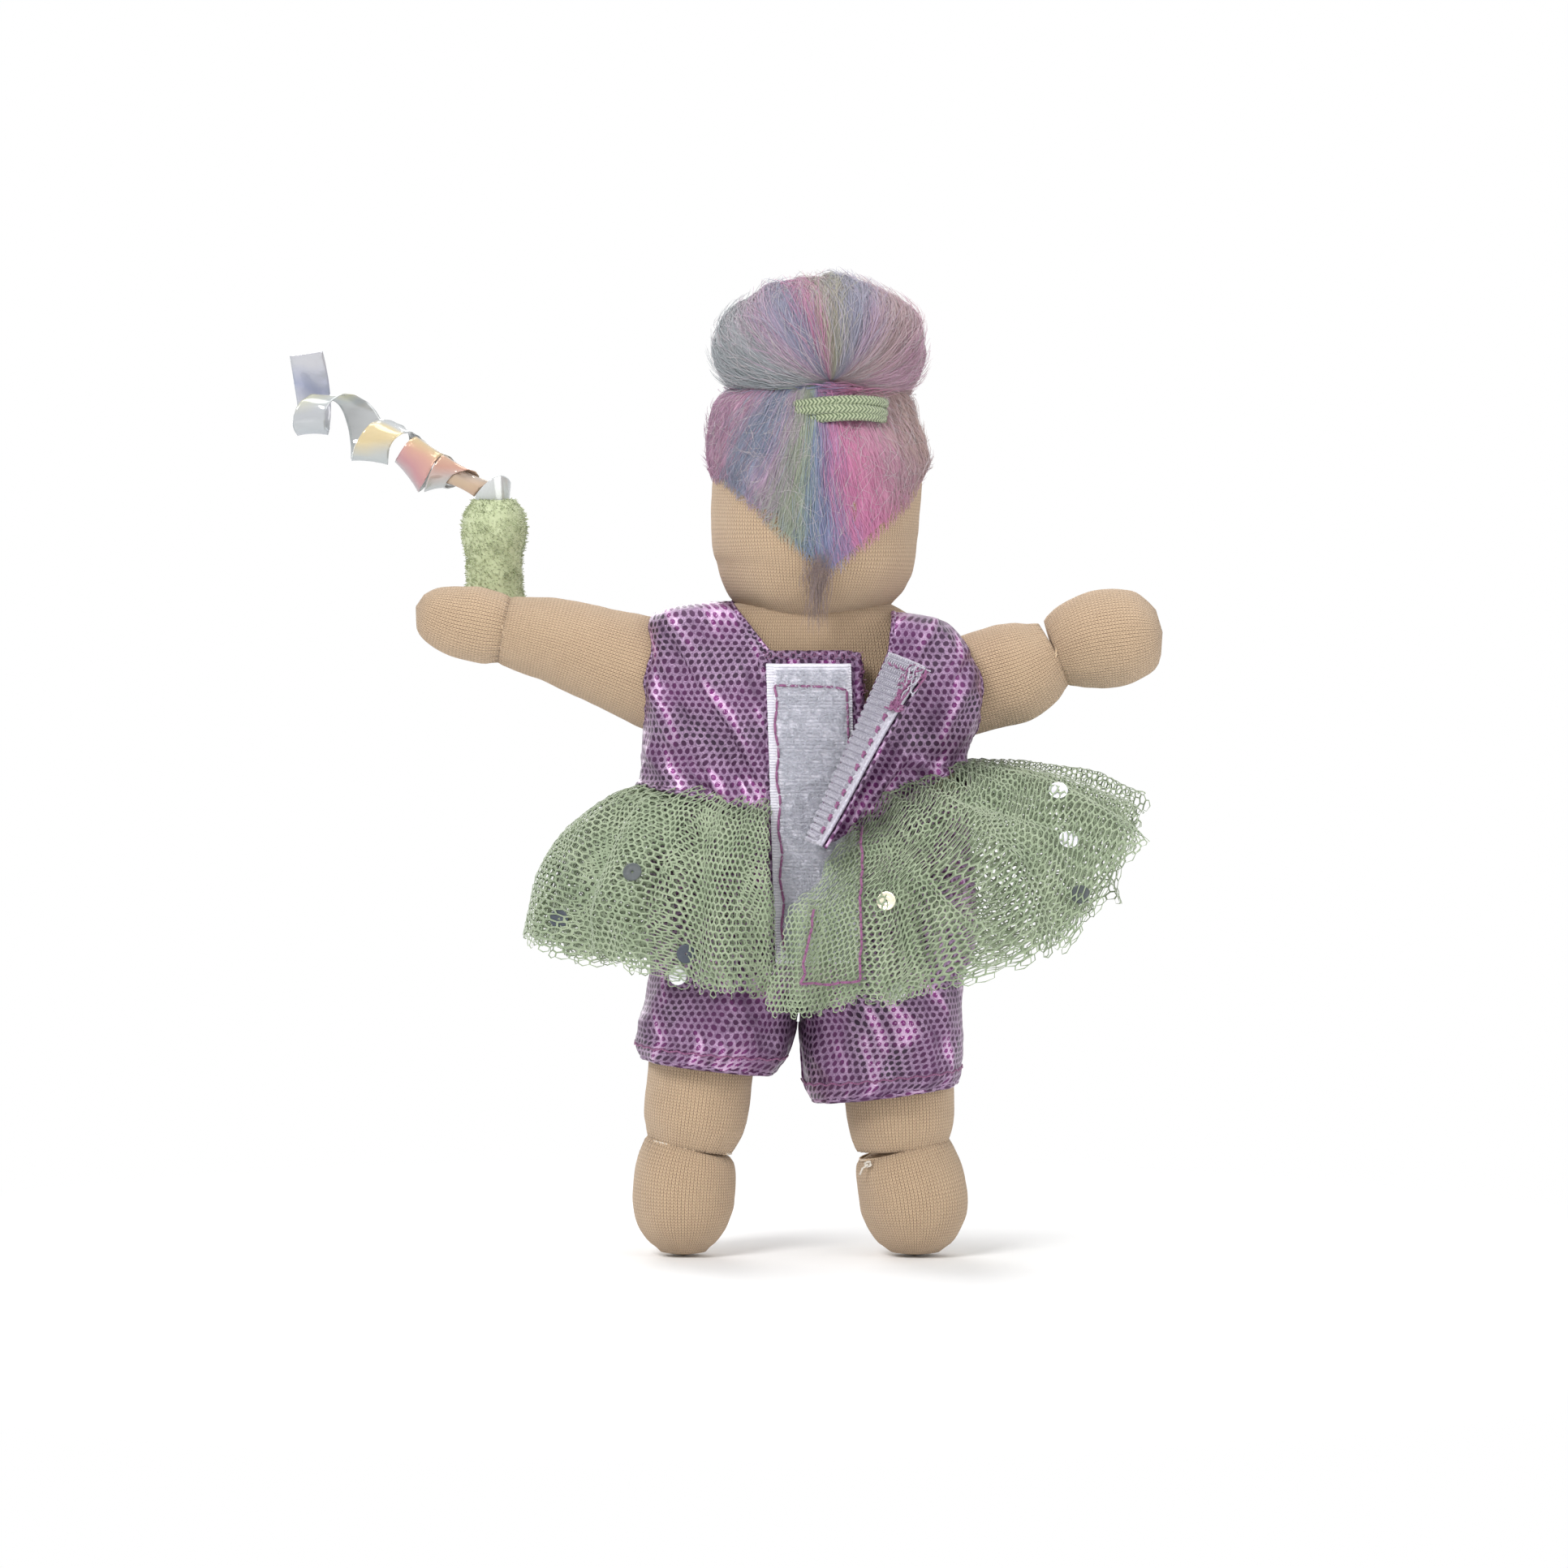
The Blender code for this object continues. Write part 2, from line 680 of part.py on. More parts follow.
def build_arm(arm, root):
    side = arm["side"]
    name = "left" if side > 0 else "right"
    bore = WIRE / 2 + GAP
    turn = (0, -side * (math.pi / 2 + arm["tilt"]), 0)
    shoulder = empty(f"{name}_shoulder_axis", (side * arm["x"], 0, arm["z"]), turn, root)

    upper = arm["upper"]
    root_radius = arm["root"]
    elbow = arm["elbow"]
    profile = arc(ARM_BALL, math.pi / 2, 0, 5)
    profile += [
        (root_radius, -upper * 0.35),
        ((root_radius + elbow) / 2, -upper * 0.75),
        (elbow, -upper),
        (bore, -upper),
        (bore, ARM_BALL / 3),
        (0, ARM_BALL / 3),
    ]
    turned(f"{name}_upper_arm", profile, "skin", 16, shoulder)
    rod(f"{name}_upper_arm_wire", WIRE / 2, ARM_BALL / 3 - GAP, -upper, "steel", shoulder)

    bend = empty(f"{name}_elbow_axis", (0, -elbow, -upper), parent=shoulder)
    centre = empty(f"{name}_elbow_centre", (0, elbow, 0), parent=bend)
    fore = arm["fore"]
    wrist = arm["wrist"]
    crease = 8 * DEG
    profile = [
        (0, -fore + wrist + GAP),
        (bore, -fore + wrist + GAP),
        (bore, -GAP),
        (elbow, -GAP),
        (elbow * 0.98, -fore * 0.3),
        ((elbow + wrist) / 2 * 1.03, -fore * 0.62),
        (wrist * 1.12, -fore + 2 * THREAD),
    ]
    profile += arc(wrist, crease, -math.pi / 2, 5, -fore)
    turned(f"{name}_forearm", profile, "skin", 16, centre)
    rod(f"{name}_forearm_wire", WIRE / 2, -GAP, -fore + wrist + 2 * GAP, "steel", centre)
    around = wrist + GAP + THREAD / 2
    ring(f"{name}_wrist_thread", around, THREAD, "white", centre, height=-fore, steps=16, sides=5)

    hand_turn = (0, -side * arm["hand_tilt"], 0)
    hand_axis = empty(f"{name}_wrist_axis", (0, 0, -fore), hand_turn, centre)
    cup = wrist + GAP
    rim = rim_angle(WRIST_BEND + abs(arm["hand_tilt"]), wrist)
    size = arm["hand"]
    length = arm["hand_length"]
    profile = arc(cup, -math.pi / 2, -rim, 4)
    flare = size * 0.9
    profile += [
        (flare, -flare * math.tan(rim)),
        (size, -length * 0.45),
        (size * 0.96, -length * 0.68),
        (size * 0.76, -length * 0.87),
        (size * 0.42, -length * 0.975),
        (0, -length),
    ]
    turned(f"{name}_hand", profile, "skin", 16, hand_axis)
    return hand_axis


# Legs


def build_leg(leg, root):
    side = leg["side"]
    name = "left" if side > 0 else "right"
    lean = math.cos(leg["tilt"])
    thigh = (leg["z"] - KNEE_HEIGHT) / lean
    shin = (KNEE_HEIGHT - ANKLE_HEIGHT) / lean
    radius = leg["radius"]
    bore = WIRE / 2 + GAP
    hip = empty(f"{name}_hip_axis", (side * leg["x"], 0, leg["z"]), (0, -side * leg["tilt"], 0), root)

    profile = arc(radius, math.pi / 2, 0, 5)
    profile += [
        (radius * THIGH_SWELL, -thigh * 0.4),
        (radius, -thigh),
        (bore, -thigh),
        (bore, radius / 3),
        (0, radius / 3),
    ]
    turned(f"{name}_thigh", profile, "skin", 16, hip)
    rod(f"{name}_thigh_wire", WIRE / 2, radius / 3 - GAP, -thigh, "steel", hip)
    build_shorts_leg(leg, name, hip)

    bend = empty(f"{name}_knee_axis", (0, radius, -thigh), parent=hip)
    centre = empty(f"{name}_knee_centre", (0, -radius, 0), parent=bend)
    ankle = leg["ankle"]
    crease = 8 * DEG
    profile = [
        (0, -shin * 0.5),
        (bore, -shin * 0.5),
        (bore, -GAP),
        (radius, -GAP),
        (radius * 0.99, -shin * 0.45),
        (radius * 0.9, -shin + 2.4 * THREAD),
    ]
    profile += arc(ankle, crease, -math.pi / 2, 5, -shin)
    turned(f"{name}_shin", profile, "skin", 16, centre)
    rod(f"{name}_shin_wire", WIRE / 2, -GAP, -shin * 0.5 + GAP, "steel", centre)
    around = ankle + GAP + THREAD / 2
    ring(f"{name}_ankle_thread", around, THREAD, "white", centre, height=-shin, steps=16, sides=5)

    foot_axis = empty(f"{name}_ankle_axis", (0, 0, -shin), (0, -side * leg["foot_tilt"], 0), centre)
    cup = ankle + GAP
    rim = rim_angle(ANKLE_BEND, ankle)
    size = leg["foot"]
    length = (ANKLE_HEIGHT + SOLE_CUT) / math.cos(leg["tilt"] + leg["foot_tilt"])
    profile = arc(cup, -math.pi / 2, -rim, 4)
    flare = size * 0.93
    profile += [
        (flare, -flare * math.tan(rim)),
        (size, -length * 0.42),
        (size * 0.985, -length * 0.62),
        (size * 0.88, -length * 0.84),
        (size * 0.68, -length * 0.96),
        (size * 0.42, -length * 0.993),
        (0, -length),
    ]
    foot = turned(f"{name}_foot", profile, "skin", 16, foot_axis)
    floor = prism(
        f"{name}_floor", [(-CUT, -CUT), (CUT, -CUT), (CUT, 0), (-CUT, 0)], -CUT, CUT, root
    )
    cut(foot, floor)


def build_shorts_leg(leg, name, hip):
    """One leg of the shorts: a loose tube round the thigh, set in towards the crotch."""
    side = leg["side"]
    hem = -(leg["z"] - leg["hem_height"]) / math.cos(leg["tilt"])
    wide = leg["hem"] + CLOTH
    outer = [(radius, -far) for far, radius in leg_tube(leg, 0)] + [(wide * 0.99, hem)]
    inner = [(radius - CLOTH, z) for radius, z in outer]
    made = turned(f"{name}_shorts_leg", outer + inner[::-1], "foil", 24, hip)
    made.location = (-side * leg["hem_in"], 0, 0)
    return made


# Playsuit

SUIT_SHARES = [(0.50, 1.0), (0.80, 0.975), (0.95, 0.90), (1.0, 0.75), (1.0, 0.4), (1.0, 0.0)]
SEAT_SHARES = [(1.0, 1.0), (1.0, 0.5), (1.0, 0.25), (0.88, 0.06), (0.60, 0.0)]


def armholes(root):
    found = []
    for arm in (LEFT_ARM, RIGHT_ARM):
        side = arm["side"]
        wide = arm["root"] + ARMHOLE_EASE
        name = "left_armhole" if side > 0 else "right_armhole"
        ball = [(0, wide), (wide * 0.7, wide * 0.7), (wide, 0), (wide, -CUT), (0, -CUT)]
        tool = turned(name, ball, "white", 24, root, cutters)
        tool.location = (side * arm["x"], 0, arm["z"])
        tool.rotation_euler = (0, -side * (math.pi / 2 + arm["tilt"]), 0)
        found.append(tool)
    return found


def build_bodice(root, holes):
    front = shell(
        "bodice_front",
        SUIT_SHARES,
        WAIST_HEIGHT,
        SUIT_TOP,
        SUIT_HALF_WIDTH,
        SUIT_HALF_DEPTH,
        CLOTH,
        "foil",
        root,
    )
    left = shell(
        "bodice_back_left",
        SUIT_SHARES,
        WAIST_HEIGHT,
        SUIT_TOP,
        SUIT_HALF_WIDTH,
        SUIT_HALF_DEPTH,
        CLOTH,
        "foil",
        root,
    )
    right = shell(
        "bodice_back_right",
        SUIT_SHARES,
        WAIST_HEIGHT - (WAIST_HEIGHT - FLAP_FOOT),
        SUIT_TOP,
        SUIT_HALF_WIDTH,
        FLAP_PANEL_HALF_DEPTH,
        CLOTH,
        "foil",
        root,
    )
    neck = NECK_HALF_WIDTH
    back_half = [(-CUT, -CUT), (CUT, -CUT), (CUT, CUT * 3), (-CUT, CUT * 3)]
    behind = prism("behind", back_half, -GAP / 2, CUT, root)
    before = prism("before", back_half, -CUT, GAP / 2, root)
    scoop = [(-neck, CUT * 3), (-neck * 0.8, FRONT_NECKLINE), (neck * 0.8, FRONT_NECKLINE), (neck, CUT * 3)]
    front_neck = prism("front_neckline", scoop, -CUT, CUT, root)
    cut(cut(front, behind), front_neck)

    keep_left = prism(
        "left_back_outline",
        [
            (CUT, 0),
            (CUT, CUT * 3),
            (neck, CUT * 3),
            (neck, SUIT_TOP),
            (LEFT_NECK_X, NECKLINE),
            (PLACKET_EDGE_X, NECKLINE),
            (PLACKET_EDGE_X, 0),
        ],
        GAP / 2,
        CUT,
        root,
    )
    cut(left, keep_left, "INTERSECT")

    keep_right = prism(
        "right_back_outline",
        [
            (FLAP_TOP_X, FLAP_TOP),
            (-neck, SUIT_TOP),
            (-neck, CUT * 3),
            (-CUT, CUT * 3),
            (-CUT, WAIST_HEIGHT + WAIST_RISE),
            (-SUIT_HALF_WIDTH, WAIST_HEIGHT + WAIST_RISE),
            (PLACKET_EDGE_X, FLAP_FOOT + WAIST_RISE / 3),
            (FLAP_FOOT_X, FLAP_FOOT),
        ],
        GAP / 2,
        CUT,
        root,
    )
    cut(right, keep_right, "INTERSECT")
    for panel in (front, left, right):
        for hole in holes:
            cut(panel, hole)


def build_seat(root):
    seat = shell(
        "shorts_seat",
        SEAT_SHARES,
        SEAT_BOTTOM,
        WAIST_HEIGHT - GAP,
        SUIT_HALF_WIDTH,
        SUIT_HALF_DEPTH,
        CLOTH,
        "foil",
        root,
    )
    for leg in (LEFT_LEG, RIGHT_LEG):
        side = leg["side"]
        name = "left_leg_hole" if side > 0 else "right_leg_hole"
        profile = [(radius, -far) for far, radius in leg_tube(leg, GAP)]
        profile = [(0, profile[0][1])] + profile + [(profile[-1][0], -CUT), (0, -CUT)]
        tool = turned(name, profile, "white", 24, root, cutters)
        tool.location = (side * (leg["x"] - leg["hem_in"]), 0, leg["z"])
        tool.rotation_euler = (0, -side * leg["tilt"], 0)
        cut(seat, tool)


def build_tape(root):
    """The loop tape on the left back panel, curved with the back."""
    inner_width = SUIT_HALF_WIDTH + CLOTH + GAP
    inner_depth = SUIT_HALF_DEPTH + CLOTH + GAP
    tape = shell(
        "loop_tape",
        [(1.0, 1.0), (1.0, 0.66), (1.0, 0.33), (1.0, 0.0)],
        TAPE_BOTTOM,
        TAPE_TOP,
        inner_width,
        inner_depth,
        TAPE_THICKNESS,
        "tape",
        root,
        steps=56,
    )
    outline = [
        (TAPE_LEFT_X, TAPE_TOP + CUT),
        (TAPE_LEFT_X - TAPE_DRIFT, TAPE_BOTTOM - CUT),
        (TAPE_RIGHT_X - TAPE_DRIFT, TAPE_BOTTOM - CUT),
        (TAPE_RIGHT_X, TAPE_TOP + CUT),
    ]
    cut(tape, prism("tape_outline", outline, 0, CUT, root), "INTERSECT")

    deep = TAPE_FACE + GAP + THREAD / 2

    def on_tape(x, z):
        angle = math.atan2(x, deep)
        reach = rounded(angle, inner_width + TAPE_THICKNESS + GAP + THREAD / 2, deep, SUIT_ROUND)
        return (reach * math.sin(angle), reach * math.cos(angle), z)

    left = TAPE_LEFT_X - STITCH_INSET
    right = TAPE_RIGHT_X + STITCH_INSET
    top = TAPE_TOP - STITCH_INSET
    foot = TAPE_BOTTOM + STITCH_INSET
    corners = [
        (left - TAPE_DRIFT, foot),
        (left - TAPE_DRIFT / 2, (top + foot) / 2),
        (left, top),
        ((left + right) / 2, top),
        (right, top),
        (right - TAPE_DRIFT / 3, (2 * top + foot) / 3),
    ]
    tube("loop_tape_stitching", [on_tape(x, z) for x, z in corners], THREAD / 2, "mauve", root)


def build_flap(root):
    """The hook tape on the peeled edge of the right back panel, hinged along that edge."""
    def edge(x, z):
        angle = math.atan2(x, FLAP_PANEL_HALF_DEPTH)
        reach = rounded(angle, SUIT_HALF_WIDTH + CLOTH, FLAP_PANEL_HALF_DEPTH + CLOTH, SUIT_ROUND)
        return Vector((reach * math.sin(angle), reach * math.cos(angle) + GAP + HOOK_THICKNESS, z))

    foot = edge(FLAP_FOOT_X, FLAP_FOOT)
    top = edge(FLAP_TOP_X, FLAP_TOP)
    along = (top - foot).normalized()
    closed = Vector((0, 1, 0)).cross(along).normalized()
    up = along.cross(closed)
    out = closed * math.cos(FLAP_REST) + up * math.sin(FLAP_REST)
    normal = along.cross(out)
    hinge = empty("back_flap_axis", foot, parent=root)
    place = Matrix((out, normal, along)).transposed().to_euler()
    hinge.rotation_euler = place
    length = (top - foot).length

    def strip(name, low, high, start, end, colour):
        outline = [(start, GAP), (end, GAP), (end, length - GAP), (start, length - GAP)]
        made = prism(name, outline, low, high)
        cutters.objects.unlink(made)
        made.hide_render = False
        made.display_type = "TEXTURED"
        return finish(made, colour, hinge)

    half = HOOK_THICKNESS / 2
    strip("hook_tape", -half, half, 0, FLAP_WIDTH, "tape")
    strip("flap_facing", half + GAP, half + GAP + CLOTH, 0, FLAP_WIDTH + GAP, "foil")
    side = -half - GAP - THREAD / 2
    near_edge = FLAP_WIDTH - STITCH_INSET
    points = [(near_edge, side, length * share) for share in (0.08, 0.35, 0.65, 0.94)]
    points.append((near_edge - 2 * STITCH_INSET, side, length * 0.97))
    tube("flap_stitching", points, THREAD / 2, "mauve", hinge)
    return hinge


# Tulle skirt: a surface with an angle round the waist and a share of the way to the hem

# angle round from the back by the left, droop in degrees, length share, rise share
SKIRT_SHARES = [
    (0.0, 76, 1.00, 0.0),
    (0.08, 74, 1.02, 0.0),
    (0.16, 60, 0.98, 0.1),
    (0.25, 50, 0.95, 0.1),
    (0.34, 60, 1.00, 0.0),
    (0.50, 70, 1.05, 0.0),
    (0.64, 60, 1.00, 0.2),
    (0.72, 16, 0.88, 0.9),
    (0.77, 8, 0.86, 1.0),
    (0.84, 30, 0.98, 0.9),
    (0.90, 62, 0.99, 0.2),
    (0.95, 76, 0.98, -0.4),
    (1.0, 80, 0.94, -0.9),
]


# share of the way to the hem, share of the way round
SLIT_START_SHARES = [(0.0, 0.078), (1.0, 0.043)]
SLIT_END_SHARES = [(0.0, 0.935), (0.25, 0.972), (0.5, 1.004), (1.0, 1.024)]


def eased(rows, place):
    """The values of a table at a place in its first column, eased between its rows."""
    for before, after in zip(rows, rows[1:]):
        if place <= after[0]:
            t = (place - before[0]) / (after[0] - before[0])
            t = t * t * (3 - 2 * t)
            return [a + (b - a) * t for a, b in zip(before[1:], after[1:])]
    return list(rows[-1][1:])


def skirt_point(turn, fall, layer=0, proud=0.0):
    """A point of the tulle: turn runs 0 to 1 round from the back, fall 0 to 1 from waist to hem."""
    angle = 2 * math.pi * turn
    droop, length, rise = eased(SKIRT_SHARES, turn)
    droop += LAYER_DROOP * layer
    depth = SKIRT_DEPTH
    if turn > 0.5:
        lift = 1 - math.cos(math.pi * min((turn - 0.5) / 0.25, 1))
        depth += (SKIRT_FLAP_DEPTH - SKIRT_DEPTH) * lift / 2
    way = Vector((math.sin(angle), math.cos(angle), 0))

    def slope(share):
        return min(droop * DEG * (0.55 + 0.9 * fall * share), math.pi / 2)

    def normal(share):
        return way * math.sin(slope(share)) + Vector((0, 0, math.cos(slope(share))))

    spot = way * rounded(angle, SKIRT_WIDTH, depth, SUIT_ROUND)
    spot.z = SKIRT_WAIST + WAIST_RISE * rise
    spot -= normal(0) * layer * LAYER_STEP
    steps = 8
    run = SKIRT_LENGTH * length * (1 - 0.06 * layer) * fall / steps
    for i in range(steps):
        here = slope((i + 0.5) / steps)
        spot += (way * math.cos(here) - Vector((0, 0, math.sin(here)))) * run
    wave = math.sin(SKIRT_FOLDS * angle) + 0.35 * math.sin((2 * SKIRT_FOLDS + 1) * angle)
    return spot + normal(1) * (FOLD_DEPTH * fall * wave + proud)


def skirt_ends(fall):
    """Where the tulle starts and ends round the waist: its right end crosses the tape lower down."""
    return eased(SLIT_START_SHARES, fall)[0], eased(SLIT_END_SHARES, fall)[0]


OUTER_NET_FACES = (75, 5)  # round the waist and down the net
INNER_NET_FACES = (45, 4)


def skirt_rows(layer, around, down):
    """The tulle's grid of points, one row from slit to slit for each step down."""
    rows = []
    for j in range(down + 1):
        fall = j / down
        first, last = skirt_ends(fall)
        turns = [first + (last - first) * i / around for i in range(around + 1)]
        rows.append([skirt_point(turn, fall, layer) for turn in turns])
    return rows


def build_skirt(root, name, rows):
    shape = bmesh.new()
    grid = [[shape.verts.new(spot) for spot in row] for row in rows]
    for upper, lower in zip(grid, grid[1:]):
        for i in range(len(upper) - 1):
            shape.faces.new((upper[i], upper[i + 1], lower[i + 1], lower[i]))
    mesh = bpy.data.meshes.new(name)
    shape.to_mesh(mesh)
    shape.free()
    mesh.shade_smooth()
    made = finish(bpy.data.objects.new(name, mesh), "tulle", root)
    thick = made.modifiers.new("net", "SOLIDIFY")
    thick.thickness = NET
    thick.offset = 0
    return made


def ridge_near(rows, place):
    """The grid point on a fold's ridge, in view from behind, that is nearest a place; its normal."""
    best = None
    for j in range(1, len(rows) - 1):
        row = rows[j]
        for i in range(1, len(row) - 1):
            spot = row[i]
            down = rows[j + 1][i] - rows[j - 1][i]
            normal = (row[i + 1] - row[i - 1]).cross(down).normalized() * -1
            ridge = (row[i - 1] + row[i + 1]) / 2 - spot
            off = (spot.xz - place).length
            if spot.y > 0 and ridge.dot(normal) < 0 and (best is None or off < best[0]):
                best = (off, spot, normal)
    return best[1:]


def on_skirt(rows, path, step, proud):
    """A path seen from behind, as (x, z), laid on the back of the tulle's grid."""
    spots = [spot for row in rows for spot in row]
    wide = len(rows[0])
    faces = []
    for j in range(len(rows) - 1):
        for i in range(wide - 1):
            corner = j * wide + i
            faces.append((corner, corner + 1, corner + wide + 1, corner + wide))
    net = BVHTree.FromPolygons(spots, faces)
    laid = []
    for start, end in zip(path, path[1:]):
        count = math.ceil((end - start).length / step)
        for i in range(count):
            place = start.lerp(end, i / count)
            spot, normal, _, _ = net.ray_cast(Vector((place.x, CUT, place.y)), Vector((0, -1, 0)))
            if spot and spot.y > 0:
                laid.append(spot + Vector((0, proud / max(abs(normal.y), 0.5), 0)))
    return laid


# Sequins and the stitched rectangle, as (x, z) seen from behind
SEQUIN_PLACES = [
    Vector((22.4, 49.9)) * MM,
    Vector((15.6, 39.6)) * MM,
    Vector((-30.4, 60.0)) * MM,
    Vector((-8.9, 46.4)) * MM,
    Vector((-10.5, 35.2)) * MM,
]
RECTANGLE_PLACES = [
    Vector((-6.2, 55.0)) * MM,
    Vector((-6.1, 46.0)) * MM,
    Vector((-6.0, 36.6)) * MM,
    Vector((-2.4, 36.2)) * MM,
    Vector((1.3, 36.4)) * MM,
    Vector((0.6, 41.0)) * MM,
]


def build_skirt_trim(root, rows):
    for i, place in enumerate(SEQUIN_PLACES):
        spot, normal = ridge_near(rows, place)
        shape = bmesh.new()
        bmesh.ops.create_cone(
            shape,
            cap_ends=True,
            segments=12,
            radius1=SEQUIN_RADIUS,
            radius2=SEQUIN_RADIUS,
            depth=SEQUIN_THICKNESS,
        )
        mesh = bpy.data.meshes.new(f"sequin_{i + 1}")
        shape.to_mesh(mesh)
        shape.free()
        sequin = finish(bpy.data.objects.new(mesh.name, mesh), "film", root)
        sequin.location = spot + normal * (NET / 2 + 2 * GAP + SEQUIN_THICKNESS / 2)
        sequin.rotation_euler = normal.to_track_quat("Z", "Y").to_euler()

    proud = NET / 2 + 2 * GAP + THREAD / 2
    points = on_skirt(rows, RECTANGLE_PLACES, STITCH_STEP, proud)
    tube("skirt_stitching", points, THREAD / 2, "mauve", root)

    proud = NET / 2 + GAP + THREAD / 2
    first, last = skirt_ends(GATHER_FALL)
    count = 40
    turns = [first + (last - first) * i / count for i in range(count + 1)]
    points = [skirt_point(turn, GATHER_FALL, 0, proud) for turn in turns]
    tube("waist_gathering_thread", points, THREAD / 2, "tulle", root)


# Party popper


def build_popper(hand_axis, root):
    """The plush popper stands in front of the left hand, with a film collar and streamer in it."""
    bpy.context.view_layer.update()
    deep = -(LEFT_ARM["hand"] + 2 * GAP + POPPER_RADIUS)
    here = empty("popper_axis", (POPPER_X, deep, 0), parent=root)
    tall = POPPER_TOP - POPPER_BOTTOM
    shares = [(0.92, 1.0), (1.0, 0.92), (1.0, 0.78), (0.92, 0.6), (0.94, 0.35), (1.02, 0.12), (1.04, 0.0)]
    outer = [(POPPER_RADIUS * r, POPPER_BOTTOM + tall * h) for r, h in shares]
    low = POPPER_TOP - COLLAR_DEPTH
    socket = [(0, low - GAP), (POPPER_BORE, low - GAP), (POPPER_BORE, POPPER_TOP)]
    sleeve = turned("popper_sleeve", socket + outer + [(0, POPPER_BOTTOM)], "plush", 20, here)
    wide = COLLAR_RADIUS
    slim = wide - COLLAR_WALL
    collar = turned(
        "popper_collar", [(wide, COLLAR_TOP), (wide, low), (slim, low), (slim, COLLAR_TOP)], "film", 16, here
    )
    for vertex in collar.data.vertices:
        if vertex.co.z > low + GAP:
            vertex.co.z -= math.tan(COLLAR_SLANT) * vertex.co.x
    ribbon = build_ribbon(here)
    for made in (sleeve, collar, ribbon):
        bpy.context.view_layer.update()
        world = made.matrix_world.copy()
        made.parent = hand_axis
        made.matrix_parent_inverse = hand_axis.matrix_world.inverted()
        made.matrix_basis = world
    bpy.data.objects.remove(here)


# The streamer from its free end to the collar, in shares of its width from the middle of the collar's mouth:
# outer edge across and up, inner edge across and up, and depth
STREAMER_SHARES = [
    (6.16, 3.95, 5.16, 4.09, 0.05),
    (6.07, 3.14, 5.04, 3.32, -0.38),
    (5.98, 2.36, 4.98, 2.56, -0.59),
    (5.98, 1.83, 4.99, 1.92, -0.47),
    (5.94, 1.56, 5.02, 1.58, 0.00),
    (6.04, 1.89, 5.06, 1.97, 0.49),
    (5.87, 2.45, 4.95, 2.45, 0.56),
    (5.41, 2.79, 4.46, 2.80, 0.09),
    (4.77, 2.53, 3.85, 2.56, -0.47),
    (4.49, 1.92, 3.44, 2.00, -0.61),
    (4.37, 1.25, 3.26, 1.25, -0.49),
    (4.32, 0.80, 3.21, 0.68, 0.00),
    (4.16, 1.22, 3.10, 1.19, 0.54),
    (3.80, 1.78, 2.81, 1.54, 0.61),
    (3.38, 2.03, 2.43, 1.62, 0.07),
    (2.77, 1.83, 2.08, 1.25, -0.52),
    (2.61, 1.42, 1.93, 0.67, -0.68),
    (2.75, 1.03, 2.09, 0.08, -0.52),
    (2.99, 0.76, 2.29, -0.15, -0.02),
    (2.81, 1.03, 2.05, 0.21, 0.42),
    (2.57, 1.35, 1.75, 0.75, 0.45),
    (2.30, 1.49, 1.49, 0.96, 0.07),
    (1.90, 1.09, 1.14, 0.67, -0.40),
    (1.83, 0.36, 1.16, 0.07, -0.45),
    (2.11, -0.16, 1.49, -0.01, -0.02),
    (1.93, 0.36, 1.24, 0.33, 0.47),
    (1.57, 0.92, 0.76, 0.50, 0.41),
    (1.32, 0.78, 0.48, 0.36, 0.02),
    (1.36, 0.44, 0.51, 0.08, -0.24),
    (1.51, 0.16, 0.60, -0.28, -0.07),
    (1.24, 0.36, 0.37, -0.04, 0.26),
    (0.93, 0.50, 0.09, 0.13, 0.19),
]
# The streamer's tail in the collar: height as a share of the tail, and nearness to the table's last row
TAIL_SHARES = [(0.04, 0.35), (-0.25, 0.05), (-0.6, 0.0)]


def curve_through(rows, steps):
    """A smooth curve through rows of numbers, with a few steps between each two."""
    found = []
    for i in range(len(rows) - 1):
        four = [rows[max(i - 1, 0)], rows[i], rows[i + 1], rows[min(i + 2, len(rows) - 1)]]
        for k in range(steps):
            t = k / steps
            weights = (-t + 2 * t**2 - t**3, 2 - 5 * t**2 + 3 * t**3, t + 4 * t**2 - 3 * t**3, t**3 - t**2)
            found.append([sum(w * r[c] for w, r in zip(weights, four)) / 2 for c in range(len(rows[0]))])
    return found + [list(rows[-1])]


def ribbon_rows():
    """Middle and half width of the ribbon, from its free end along its curls into the collar."""
    mouth = Vector((0, 0, COLLAR_TOP))
    rows = []
    for ax, az, bx, bz, depth in curve_through(STREAMER_SHARES, RIBBON_STEPS):
        outer = Vector((ax, depth, az)) * RIBBON_WIDTH
        inner = Vector((bx, depth, bz)) * RIBBON_WIDTH
        rows.append((mouth + (outer + inner) / 2, (inner - outer) / 2))
    last, way = rows[-1]
    tuck = Vector((0, RIBBON_WIDTH / 2 * RIBBON_TUCK, 0))
    for share, near in TAIL_SHARES:
        spot = mouth + Vector((last.x * near, last.y * near, RIBBON_TAIL * share))
        rows.append((spot, tuck.lerp(way, near)))
    return rows


